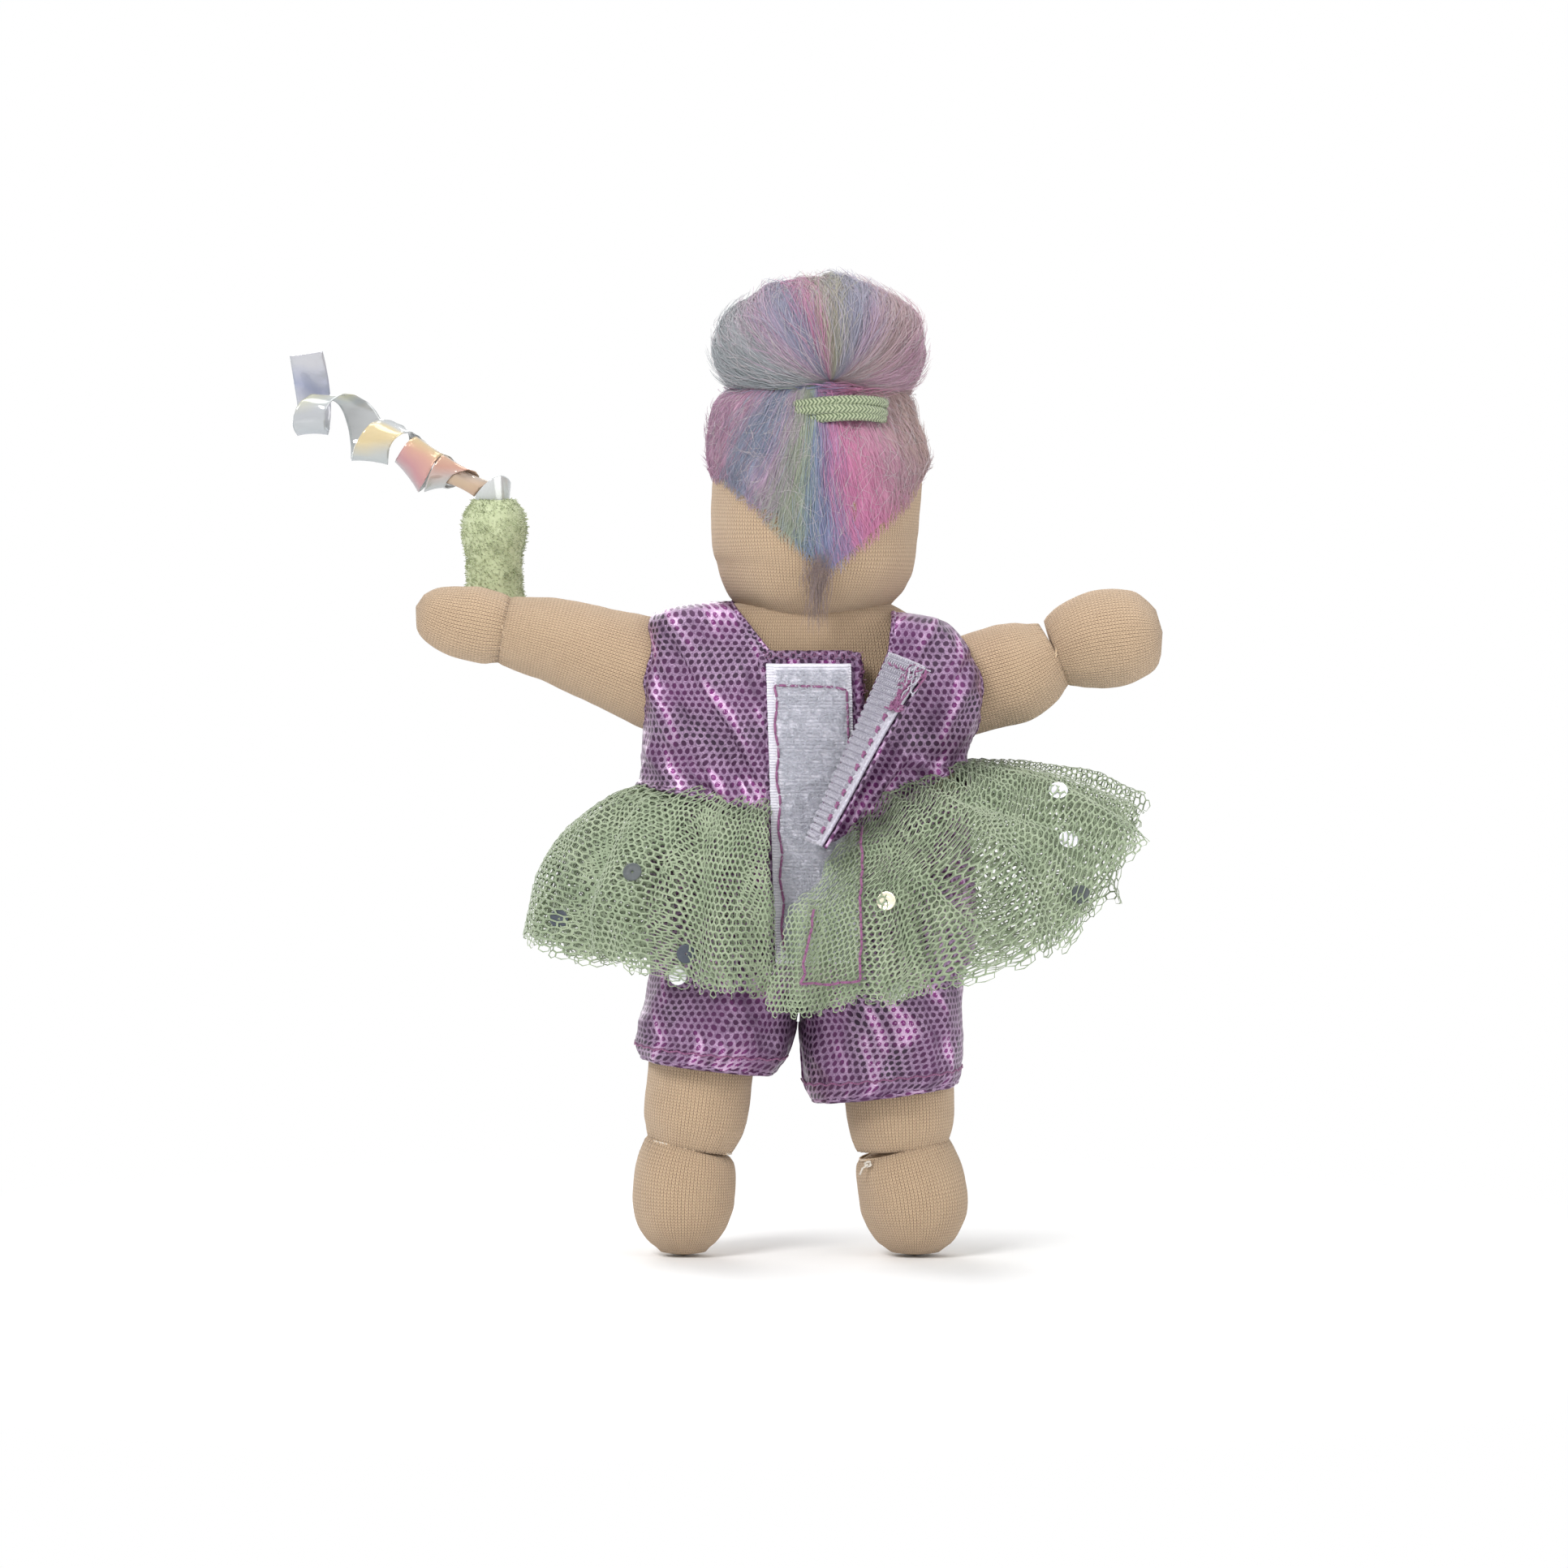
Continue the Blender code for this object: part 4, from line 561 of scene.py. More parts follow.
def twist_thread(name, points, radius, material, closed=False):
    """A two-ply thread: two strands wound round a path, as one mesh."""
    vertices, faces, fine = [], [], []
    for a, b in zip(points, points[1:] + points[:1] if closed else points[1:]):
        pieces = max(int((b - a).length / (radius * 1.1)), 1)
        fine += [a.lerp(b, t / pieces) for t in range(pieces)]
    if not closed:
        fine.append(points[-1])
    sides, total, strides = 5, len(fine), 1.6
    for ply in (0, math.pi):
        base, travelled, side = len(vertices), 0.0, None
        for k, point in enumerate(fine):
            ahead = fine[(k + 1) % total] if closed or k + 1 < total else point
            behind = fine[k - 1] if closed or k else point
            side, over = carried(side, (ahead - behind).normalized())
            travelled += (point - fine[k - 1]).length if k else 0.0
            turn = travelled / (radius * 2) / strides * math.pi + ply
            middle = point + (side * math.cos(turn) + over * math.sin(turn)) * radius * 0.45
            vertices += ring_points(middle, side, over, radius * 0.62, sides)
        faces += ring_faces(base, total, sides, closed)
        if not closed:
            faces.append(tuple(base + i for i in range(sides))[::-1])
            faces.append(tuple(base + (total - 1) * sides + i for i in range(sides)))
    return add_object(name, vertices, faces, None, material)


def strokes(name, lines, width, material, uv_of=None, taper=True):
    """Many fine fibres as thin three-sided strands, in one mesh. Each line is a list of points."""
    vertices, faces, uvs = [], [], []
    for number, line in enumerate(lines):
        faces += ring_faces(len(vertices), len(line), 3)
        last, side = len(line) - 1, None
        u, v0, v1 = uv_of[number] if uv_of else (0.0, 0.0, 1.0)
        for k, point in enumerate(line):
            ahead = line[min(k + 1, last)] - line[max(k - 1, 0)]
            side, over = carried(side, ahead.normalized() if ahead.length > 1e-12 else UP)
            half = width / 2 * (1 - 0.75 * abs(2 * k / last - 1) ** 2 if taper else 1)
            vertices += ring_points(point, side, over, half, 3)
        for k in range(last):
            a, b = (v0 + (v1 - v0) * step / last for step in (k, k + 1))
            uvs += [(u, a), (u, a), (u, b), (u, b)] * 3
    return add_object(name, vertices, faces, uvs, material)


def rides(made, body, *nodes, slot=None):
    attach(made, body)
    if nodes:
        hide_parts(*nodes)
    return made


# Skin: head, neck, torso, arms and legs


# The head's edges in the photograph's pixels: row, left, right
HEAD_EDGES = [
    (520, 905, 1112), (545, 890, 1128), (580, 880, 1136), (620, 877, 1134), (657, 876, 1131), (690, 881, 1127),
    (712, 887, 1119), (730, 895, 1110), (744, 907, 1098), (755, 922, 1083), (762, 940, 1066),
]
# Height, half width and half depth in millimetres
TORSO = [
    (84.0, 7.6, 6.0), (82.8, 10.2, 7.0), (81.4, 12.6, 7.7), (79.6, 14.8, 8.1), (77.5, 16.6, 8.3),
    (74.0, 17.8, 8.6), (60.0, 18.2, 8.7), (44.0, 17.8, 8.6), (37.0, 15.5, 7.6), (34.0, 9.0, 4.5),
]
# Side, part, number of gathers at the tied end, and the stations for pixels()
LIMBS = [
    ("left", "arm", 26, (892, 850, 52), (862, 850, 62), (835, 843, 67), (801, 828, 67), (745, 809, 60),
     (690, 791, 53), (655, 783, 48), (633, 778, 43.4), (627, 777, 42), (622, 776, 40.2)),
    ("right", "arm", 26, (1106, 862, 50), (1136, 858, 60), (1160, 853, 62), (1190, 845, 61), (1222, 836, 62),
     (1250, 828, 62), (1275, 817, 55), (1290, 809, 46), (1299, 804, 40)),
    ("left", "hand", 26, (622, 776, 40.2), (617, 775, 42), (610, 773.5, 44.6), (600, 772, 46.2), (583, 768.5, 46.5),
     (563, 764.5, 43.5), (543, 758.5, 38), (527, 752.5, 29.5), (518, 749, 17), (514, 748, 5), (513, 748, 1)),
    ("right", "hand", 28, (1299, 804, 40), (1305, 802, 45), (1320, 797, 53), (1342, 791, 59), (1366, 787, 60.5),
     (1390, 784, 58), (1410, 782, 49), (1423, 780, 35), (1430, 779, 18), (1432, 779, 1)),
    ("left", "leg", 30, (868, 1200, 60), (868, 1240, 65), (866, 1280, 65), (863, 1320, 65), (859, 1355, 65),
     (855, 1385, 63), (852, 1402, 57), (850, 1413, 51.5)),
    ("right", "leg", 30, (1101, 1200, 60), (1102, 1240, 66), (1105, 1290, 67), (1108, 1345, 67),
     (1110, 1380, 66), (1111, 1402, 61), (1112, 1415, 55)),
    ("left", "foot", 30, (850, 1413, 51.5), (848, 1420, 56), (845, 1438, 61), (842, 1465, 63.5), (841, 1490, 62),
     (841, 1512, 55), (841, 1530, 43), (841, 1541, 30), (841, 1548.2, 22), (841, 1549, 1)),
    ("right", "foot", 32, (1112, 1415, 55), (1114, 1422, 60), (1118, 1440, 65), (1124, 1466, 67.5),
     (1127, 1492, 66), (1128, 1514, 58), (1128, 1532, 46), (1128, 1542, 32), (1128, 1548.2, 23), (1128, 1549, 1)),
]
# Where the gathers are as a share of the part, their reach and depth in millimetres, and the stuffing
GATHERS = {"arm": (0.99, 0.9, 0.12, 0.85), "hand": (0.02, 0.9, 0.12, 0.8), "leg": (0.99, 1.0, 0.14, 0.85),
           "foot": (0.02, 1.0, 0.14, 0.85)}
# The bodies that an arm or a leg joins, the joint between them, and half of the bend's length in millimetres
BENDS = {"arm": ("upper_arm", "forearm", "elbow_bend", 2.2), "leg": ("thigh", "shin", "knee_bend", 1.6)}


def build_skin():
    """Head, neck, torso, arms, hands, legs and feet."""
    crown = [(1005, 488, 2), (1005, 492, 40), (1006, 502, 78)]
    head = [((left + right) / 2, row, (right - left) / 2) for row, left, right in HEAD_EDGES]
    stations = pixels(*crown, *head)
    made = limb("head_skin", stations, sides=110, flat=0.97, pleats=((0.985, 1.3 * MM, 0.16 * MM, 34),))
    rides(made, "head", "head", slot="skin_jersey")
    made = limb("neck_skin", pixels((1003, 752, 64), (1003, 762, 62), (1003, 778, 60), (1003, 800, 58)))
    rides(made, "neck", "neck", slot="skin_jersey")
    build_torso()
    for side, part, number, *stations in LIMBS:
        share, reach, depth, fill = GATHERS[part]
        stations = pixels(*stations)
        made = limb(f"{side}_{part}_skin", stations, pleats=((share, reach * MM, depth * MM, number),))
        if part in BENDS:
            near, far, joint, half = BENDS[part]
            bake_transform(made)
            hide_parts(f"{side}_{near}", f"{side}_{far}")
        else:
            rides(made, f"{side}_{part}", f"{side}_{part}")


def build_torso():
    rows, uvs = [], []
    sides, count = 96, 60
    wales = round(TURN * 14 * MM / STITCH_WIDE)
    for j in range(count + 1):
        height = 84 - 50 * j / count
        wide, deep = by_height(TORSO, height)
        row = []
        for i in range(sides):
            x, y = math.sin(TURN * i / sides), math.cos(TURN * i / sides)
            reach = plan(TURN * i / sides, wide, deep, 2.4)
            point = doll(x * reach, y * reach, height)
            row.append(point + Vector((x, y, 0)) * lump(point, 5 * MM, 0.2 * MM))
        rows.append(row)
        uvs.append([(wales * i / sides, -height * MM / STITCH_TALL) for i in range(sides + 1)])
    made = surface("torso_skin", rows, uvs, SKIN, caps=(True, True))
    rides(made, "torso", "torso", slot="skin_jersey")


def by_height(table, height):
    """A table's values at a height, from rows that go downwards."""
    return eased([(-row[0], *row[1:]) for row in table], -height)


# Playsuit


def plan(angle, wide, deep, power=3.0):
    x, y = math.sin(angle), math.cos(angle)
    return (abs(x / wide) ** power + abs(y / deep) ** power) ** (-1 / power)


def trim(shape, outside):
    """Cuts a fine grid along a curve: faces outside go, and the rest of their points move to the curve."""
    far = {vertex: outside(vertex.co) for vertex in shape.verts}
    gone = [face for face in shape.faces if all(far[v] > 0 for v in face.verts)]
    bmesh.ops.delete(shape, geom=gone, context="FACES")
    step = 0.02 * MM
    for vertex in shape.verts:
        here = far[vertex]
        if here <= 0:
            continue
        for _ in range(3):
            slope = Vector(
                [(outside(vertex.co + d * step) - outside(vertex.co - d * step)) / (2 * step) for d in (Vector((1, 0, 0)), BACK, UP)]
            )
            if slope.length < 1e-6:
                break
            vertex.co -= slope * here / slope.length_squared
            here = outside(vertex.co)
    loose = [v for v in shape.verts if not v.link_faces]
    bmesh.ops.delete(shape, geom=loose, context="VERTS")


def past(a, b):
    """How far right of the line from a to b a place is, in metres, on the doll's x and z seen from its front."""
    a, b = Vector(a) * MM, Vector(b) * MM
    along = (b - a).normalized()
    right = Vector((along.y, -along.x))

    def outside(point):
        return (Vector((point.x - MIDDLE.x, point.z)) - a).dot(right)

    return outside


def hem_paths(shape):
    """The open edges of a cloth, as runs of points with the cloth's outward side at each."""
    edges = dict.fromkeys(edge for edge in shape.edges if len(edge.link_faces) == 1)
    runs = []
    while edges:
        edge = next(iter(edges))
        del edges[edge]
        run = [edge.verts[0], edge.verts[1]]
        grown = True
        while grown:
            grown = False
            for end in (0, -1):
                ahead = [e for e in run[end].link_edges if e in edges]
                if not ahead:
                    continue
                del edges[ahead[0]]
                other = ahead[0].other_vert(run[end])
                run.insert(0, other) if end == 0 else run.append(other)
                grown = True
        if len(run) > 6:
            runs.append(run)
    return runs


def rolled_hem(name, runs, radius, material, keep):
    """A rolled edge as a tube along the runs of points, where keep says that there is one."""
    vertices, faces, uvs = [], [], []
    sides = 8
    for run in runs:
        spots = [Vector(point) for point in run]
        for _ in range(4):
            mids = [(a + b * 2 + c) / 4 for a, b, c in zip(spots, spots[1:], spots[2:])]
            spots = [spots[0], *mids, spots[-1]]
        stretches = [list(part) for held, part in itertools.groupby(spots, keep) if held]
        for part in (part for part in stretches if len(part) > 3):
            faces += ring_faces(len(vertices), len(part), sides)
            side, last = None, len(part) - 1
            for k, point in enumerate(part):
                side, over = carried(side, (part[min(k + 1, last)] - part[max(k - 1, 0)]).normalized())
                thick = radius * (1 + 0.18 * noise.noise(point / (0.9 * MM)))
                vertices += ring_points(point, side, over, thick, sides)
            for k in range(last):
                low, high = k * 0.3, (k + 1) * 0.3
                for i in range(sides):
                    across, beside = i / sides * 3, (i + 1) / sides * 3
                    uvs += [(across, low), (beside, low), (beside, high), (across, high)]
    return add_object(name, vertices, faces, uvs, material)


def joined(name, parts):
    """One object from several of one material, with their UVs."""
    shape = bmesh.new()
    for part in parts:
        shape.from_mesh(part.data)
    mesh = bpy.data.meshes.new(name)
    shape.to_mesh(mesh)
    shape.free()
    mesh.materials.append(parts[0].data.materials[0])
    mesh.shade_smooth()
    made = bpy.data.objects.new(name, mesh)
    bpy.context.scene.collection.objects.link(made)
    for part in parts:
        bpy.data.objects.remove(part)
    return made


def cloth_piece(name, rows, uvs, cuts, thickness, material=SUIT, hem=0.0, hemmed=None):
    """An open cloth surface from a grid, cut to its outline, with its thickness and a rolled hem."""
    wide = len(rows[0])
    shape = bmesh.new()
    layer = shape.loops.layers.uv.new("UVMap")
    grid = [[shape.verts.new(point) for point in row] for row in rows]
    for j in range(len(rows) - 1):
        for i in range(wide - 1):
            corners = (grid[j][i], grid[j + 1][i], grid[j + 1][i + 1], grid[j][i + 1])
            face = shape.faces.new(corners)
            for loop, place in zip(face.loops, ((j, i), (j + 1, i), (j + 1, i + 1), (j, i + 1))):
                loop[layer].uv = uvs[place[0]][place[1]]
    for outside in cuts:
        trim(shape, outside)
    runs = [[vertex.co.copy() for vertex in run] for run in hem_paths(shape)] if hem else []
    mesh = bpy.data.meshes.new(name)
    shape.to_mesh(mesh)
    shape.free()
    mesh.shade_smooth()
    mesh.materials.append(material)
    made = bpy.data.objects.new(name, mesh)
    bpy.context.scene.collection.objects.link(made)
    solid = made.modifiers.new("thickness", "SOLIDIFY")
    solid.thickness = thickness
    solid.offset = 0
    apply_modifiers(made)
    if hem:
        made = joined(name, [made, rolled_hem(name + "_edge", runs, hem, material, hemmed)])
    return made


def apply_modifiers(made):
    bpy.context.view_layer.update()
    graph = bpy.context.evaluated_depsgraph_get()
    mesh = bpy.data.meshes.new_from_object(made.evaluated_get(graph))
    made.modifiers.clear()
    made.data = mesh


def tube_outside(centre, way, radius):
    """How far inside a round armhole a place is; the kept cloth is outside the tube."""
    way = way.normalized()

    def outside(point):
        off = point - centre
        if off.dot(way) < -6 * MM:
            return -off.length
        return radius - (off - way * off.dot(way)).length

    return outside


def folds(x, z, table):
    """Sum of long soft folds; each is (x, z, direction in degrees, reach across, reach along, depth), in millimetres."""
    total = 0.0
    for fx, fz, turn, across, along, depth in table:
        c, s = math.cos(math.radians(turn)), math.sin(math.radians(turn))
        a = (x - fx) * c + (z - fz) * s
        b = -(x - fx) * s + (z - fz) * c
        total += depth * math.exp(-((a / along) ** 2) - (b / across) ** 2)
    return total


LEFT_BACK_FOLDS = [
    (15, 77, 63, 1.0, 6, 0.5), (12.5, 74, 62, 0.7, 6, -0.35), (11, 71, 60, 0.9, 7, 0.6),
    (16, 68, 64, 0.9, 7, -0.5), (18.5, 69, 68, 0.8, 6, 0.45), (8.5, 66, 64, 0.8, 6, 0.5),
    (13, 63, 52, 0.9, 6, 0.55), (10.5, 62.5, 54, 0.6, 5, -0.35), (18, 62, 42, 0.9, 5, 0.45),
    (10, 59.6, 25, 0.8, 5, 0.45), (16, 59, 12, 0.8, 5, 0.4),
]
RIGHT_BACK_FOLDS = [
    (-13, 77, -60, 0.8, 4, 0.45), (-16.5, 74, -52, 0.9, 5, 0.5), (-14.5, 72, -55, 0.6, 5, -0.35),
    (-17, 69, -60, 0.9, 5, 0.55), (-13, 66, -56, 0.9, 6, -0.45), (-11, 63.5, -52, 0.8, 6, 0.5),
    (-7.5, 60, -52, 0.8, 5, 0.5), (-15, 62, 28, 0.9, 4, 0.5), (-5, 57, -60, 0.7, 4, 0.35),
]
FRONT_FOLDS = [
    (9, 74, -60, 1.2, 6, 0.5), (-8, 73, 60, 1.2, 6, 0.5), (4, 66, 80, 1.3, 7, 0.35),
    (-12, 64, 70, 1.2, 6, -0.4), (13, 63, -68, 1.2, 6, 0.45),
]


def bodice_half(side):
    """Half of the bodice, from the open back round to the middle of the front."""
    sign = 1 if side == "left" else -1
    sides, tall = 170, 150
    top, bottom = (83.0, 54.5) if sign > 0 else (81.6, 51.0)
    back_deep = 10.4 if sign > 0 else 13.3
    if sign > 0:
        widths = [(-82.5, 20.2), (-76.0, 20.4), (-68.0, 20.7), (-62.0, 21.2), (-55.0, 21.0)]
    else:
        widths = [
            (-81.4, 17.2), (-80.0, 17.6), (-77.0, 19.4), (-73.0, 21.1), (-69.0, 21.0), (-64.0, 19.4),
            (-60.0, 18.9), (-52.0, 19.4),
        ]
    rows, uvs = [], []
    for j in range(tall + 1):
        height = top - (top - bottom) * j / tall
        over = top - height
        shrink = eased([(0.0, 0.45), (0.25, 0.7), (0.7, 0.88), (1.5, 0.97), (3.0, 1.0), (40.0, 1.0)], over)[0]
        wide = eased(widths, -height)[0]
        square = min(max((height - 62) / 8, 0), 1)
        power = 3 + 3 * square * square * (3 - 2 * square)
        row, uv = [], []
        around = 0.0
        before = None
        for i in range(sides + 1):
            angle = sign * math.radians(-30 + 210 * i / sides)
            x, y = math.sin(angle), math.cos(angle)
            deep = back_deep if y > 0 else 10.2
            deep = 10.2 + (back_deep - 10.2) * min(max(y * 2.2, 0), 1) if sign < 0 else deep
            reach = plan(angle, wide, deep, power) * shrink
            px, py = x * reach, y * reach
            hem = hem_height(px, y, sign)
            rise = 0.7 * max(0.0, 1 - abs(px) / 19) * max(0.0, 1 - over / 3)
            table = FRONT_FOLDS if y < 0 else (LEFT_BACK_FOLDS if sign > 0 else RIGHT_BACK_FOLDS)
            push = folds(px, height, table) * min(abs(y) * 2.5, 1)
            push += 0.22 * noise.noise(Vector((px, py, height)) / 3.1) + 0.1 * noise.noise(Vector((px, py, height)) / 1.2)
            push *= 1.8
            waist = max(0.0, 1 - max(height - hem, 0) / 3.5)
            flare = 0.7 if y < 0 else (1.6 * min(max((px - 5.6) / 3, 0), 1) * (1 - 0.6 * x * x) if sign > 0 else 1.0)
            push += 0.2 * waist * math.sin(23 * angle + math.sin(7 * angle)) + flare * waist**3
            point = doll(px + x * push, py + y * push, height + rise)
            if before is not None:
                around += (point - before).length / MM
            before = point
            row.append(point)
            uv.append((around, (82.2 - height)))
        rows.append(row)
        uvs.append(uv)
    if sign > 0:
        armhole = tube_outside(spot(801, 827), spot(690, 791) - spot(835, 838), 7.0 * MM)
        cuts = [armhole, by_side(left_neck, front_neck), past((-5.9, 90), (-5.9, 20))]
    else:
        armhole = tube_outside(spot(1190, 846), spot(1250, 828) - spot(1150, 856), 7.0 * MM)
        cuts = [armhole, by_side(right_edge, front_neck)]

    def below_hem(point):
        x = (point.x - MIDDLE.x) / MM
        return hem_height(x, (point.y - MIDDLE.y) / MM / 10, sign) * MM - point.z

    def hemmed(point):
        return abs(point.x - MIDDLE.x) > 0.6 * MM or point.y > MIDDLE.y

    cuts.append(below_hem)
    made = cloth_piece(f"bodice_{side}", rows, uvs, cuts, 0.34 * MM, hem=0.34 * MM, hemmed=hemmed)
    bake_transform(made)
    nodes = ["bodice_back_left", "bodice_front"] if sign > 0 else ["bodice_back_right"]
    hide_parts(*nodes)
    return made


def hem_height(x, back, sign):
    """Height of the bodice's lower edge in millimetres, at x and at a share towards the back."""
    front = 58.6
    if sign > 0:
        behind = 57.0 + 0.2 * max(x - 5.2, 0)
    else:
        behind = 53.6 + max(-x - 2.4, 0) * 0.56
    share = min(max(back * 1.6 + 0.5, 0), 1)
    return front + (behind - front) * share


def by_side(back, front):
    """One rule for the doll's back and another for its front."""

    def outside(point):
        return back(point) if point.y > MIDDLE.y else front(point)

    return outside


def left_neck(point):
    """The neck's notch in the left back panel."""
    return min(point.z - 76.6 * MM, past((10.6, 83.4), (5.25, 76.6))(point))


def front_neck(point):
    """The round neck of the front."""
    off = Vector((point.x - MIDDLE.x, point.z)) - Vector((0, 86)) * MM
    return 10.5 * MM - off.length


def right_edge(point):
    """The right back panel ends at the flap's hinge, then at the neck, and at a slanting hem."""
    hinge = past((0.3, 53.6), (-9.7, 76.9))(point)
    side = past((-9.7, 76.9), (-10.4, 83.0))(point)
    return min(hinge, side) if point.z > 70 * MM else hinge


def build_seat():
    """The playsuit's seat and belly, from the waist to the hips, under the net."""
    table = [
        (59.5, 19.3, 9.6), (57.0, 19.9, 10.3), (52.0, 20.3, 10.6), (46.0, 20.8, 10.8), (40.0, 20.9, 10.6),
        (36.5, 19.5, 9.9), (34.0, 15.0, 8.0), (33.2, 8.0, 4.5),
    ]
    sides, tall = 150, 70
    rows, uvs = [], []
    for j in range(tall + 1):
        height = 59.5 - (59.5 - 33.2) * j / tall
        wide, deep = by_height(table, height)
        row, uv = [], []
        for i in range(sides):
            angle = TURN * i / sides
            x, y = math.sin(angle), math.cos(angle)
            reach = plan(angle, wide, deep, 2.6)
            push = 0.3 * noise.noise(Vector((x * reach, y * reach, height)) / 3.0)
            push += 0.15 * noise.noise(Vector((x * reach, y * reach, height)) / 1.3)
            row.append(doll(x * (reach + push), y * (reach + push), height))
        rows.append(row)
        uvs.append([(i / sides * 102, 59.5 - height) for i in range(sides + 1)])
    made = surface("playsuit_seat", rows, uvs, SUIT, caps=(False, True))
    rides(made, "torso", "shorts_seat", slot="suit_foil_mesh")


def shorts(side):
    """One half of the shorts, as a wide tube from the waist down to its hem."""
    sign = 1 if side == "left" else -1
    if sign > 0:
        table = [
            (49.0, 9.8, 10.4, 10.0), (44.0, 10.2, 10.2, 10.2), (38.0, 10.5, 9.9, 10.2),
            (34.0, 10.9, 9.6, 10.1), (30.5, 11.8, 9.8, 10.1), (28.0, 12.3, 9.8, 9.9), (26.3, 12.8, 9.4, 9.5),
            (25.2, 13.1, 8.8, 9.0), (24.6, 13.1, 8.4, 8.7),
        ]
    else:
        table = [
            (49.0, -9.6, 10.3, 10.0), (44.0, -9.4, 10.1, 10.2), (38.0, -9.1, 9.9, 10.1),
            (31.0, -8.8, 10.2, 10.1), (28.0, -8.8, 10.2, 10.1), (25.5, -8.9, 10.1, 9.9),
            (22.6, -9.0, 9.7, 9.7), (21.2, -9.2, 9.0, 9.3),
        ]
    high, low = table[0][0], table[-1][0]
    sides, tall = 120, 90
    rows, uvs = [], []
    for j in range(tall + 1):
        height = high - (high - low) * j / tall
        cx, wide, deep = by_height(table, height)
        row, uv = [], []
        around = 0.0
        before = None
        for i in range(sides + 1):
            angle = TURN * i / sides - sign * math.pi / 2
            x, y = math.sin(angle), math.cos(angle)
            reach = plan(angle, wide, deep, 2.5)
            px, py = x * reach, y * reach
            seed = Vector((px + cx, py, height))
            push = 0.4 * noise.noise(seed / 4.0) + 0.16 * noise.noise(seed / 1.7)
            push += 1.5 * folds(px + cx, height, SHORTS_FOLDS) * (1 if y > 0 else 0.6)
            hem = max(0.0, 1 - (height - low) / 3.0)
            push += 0.22 * hem * math.sin(17 * angle + 2 * math.sin(3 * angle))
            slant = 0.12 * sign * px * max(0.0, 1 - (height - low) / 9)
            point = doll(cx + px + x * push, py + y * push, height + slant)
            if before is not None:
                around += (point - before).length / MM
            before = point
            row.append(point)
            uv.append((around, high - height))
        rows.append(row)
        uvs.append(uv)
    made = cloth_piece(f"shorts_{side}", rows, uvs, [], 0.34 * MM, hem=0.36 * MM, hemmed=lambda p: p.z < 30 * MM)
    hem_stitches = [rows[-7 - k % 2][i] for k, i in enumerate(range(0, sides, 2))]
    thread = twist_thread(f"{side}_hem_thread", [p + (p - leg_axis(p, side)) * 0.028 for p in hem_stitches], 0.13 * MM, MAUVE, closed=True)
    rides(thread, f"{side}_thigh", slot="mauve_thread")
    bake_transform(made)
    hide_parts(f"{side}_shorts_leg")
    return made


def leg_axis(point, side):
    """The middle of a leg of the shorts at a place's height."""
    return Vector((MIDDLE.x + (13.6 if side == "left" else -9.8) * MM, MIDDLE.y, point.z))


SHORTS_FOLDS = [
    (16, 28, 20, 0.9, 4, 0.5), (9, 29, -35, 0.9, 4, 0.5), (13, 33, 10, 1.2, 5, 0.4),
    (-6, 30, 40, 0.9, 4, 0.5), (-14, 28, 75, 1.0, 5, 0.45), (-10, 25, 65, 0.9, 4, -0.4),
    (-16, 33, 80, 1.0, 5, 0.4), (5, 27, -60, 0.8, 3, 0.5), (-2, 25, 50, 0.8, 3, 0.5),
]


# Hook-and-loop closure


def tape_spot(across, height, out=0.0):
    """A place on the back closure, by millimetres across from the middle of the tape's top."""
    x = across - 1.2 * (75.3 - height) / 37.1
    angle = math.atan2(x, 11.15)
    reach = plan(angle, 20.9, 11.15 + out)
    return doll(reach * math.sin(angle), reach * math.cos(angle), height)


def build_placket():
    """The left panel's turned edge of foil mesh, which shows above and right of the tape."""
    rows, uvs = [], []
    for j in range(131):
        height = 76.5 - 38.7 * j / 130
        row = []
        for i in range(49):
            across = 6.5 - 12.6 * i / 48
            drop = max(0.0, 1 - (across + 6.1) / 1.3) ** 2 * 0.7
            wave = 0.12 * noise.noise(Vector((across, height, 3.0)))
            row.append(tape_spot(across, height - drop * (1 - j / 130), -0.5 + wave))
        rows.append(row)
        uvs.append([(12.6 * i / 48, 38.7 * j / 130) for i in range(49)])

    def hemmed(point):
        return point.z > 60 * MM and (point.z > 75 * MM or point.x < MIDDLE.x)

    made = cloth_piece("placket_cloth", rows, uvs, [], 0.3 * MM, hem=0.62 * MM, hemmed=hemmed)
    rides(made, "torso", slot="suit_foil_mesh")
    lines = []
    for _ in range(190):
        along = random.random()
        if random.random() < 0.55:
            root = tape_spot(random.uniform(-6.0, 5.9), 76.3 + random.uniform(-0.3, 0.5), 0.2)
        else:
            root = tape_spot(-6.1 + random.uniform(-0.4, 0.3), 62 + 14 * along, 0.2)
        turn = random.uniform(0, 6.28)
        way = Vector((math.cos(turn), 0.6, math.sin(turn))) * random.uniform(0.2, 0.5) * MM
        lines.append([root, root + way * 0.6, root + way])
    made = strokes("placket_frayed_ends", lines, 0.09 * MM, MAUVE, taper=False)
    rides(made, "torso", slot="mauve_thread")


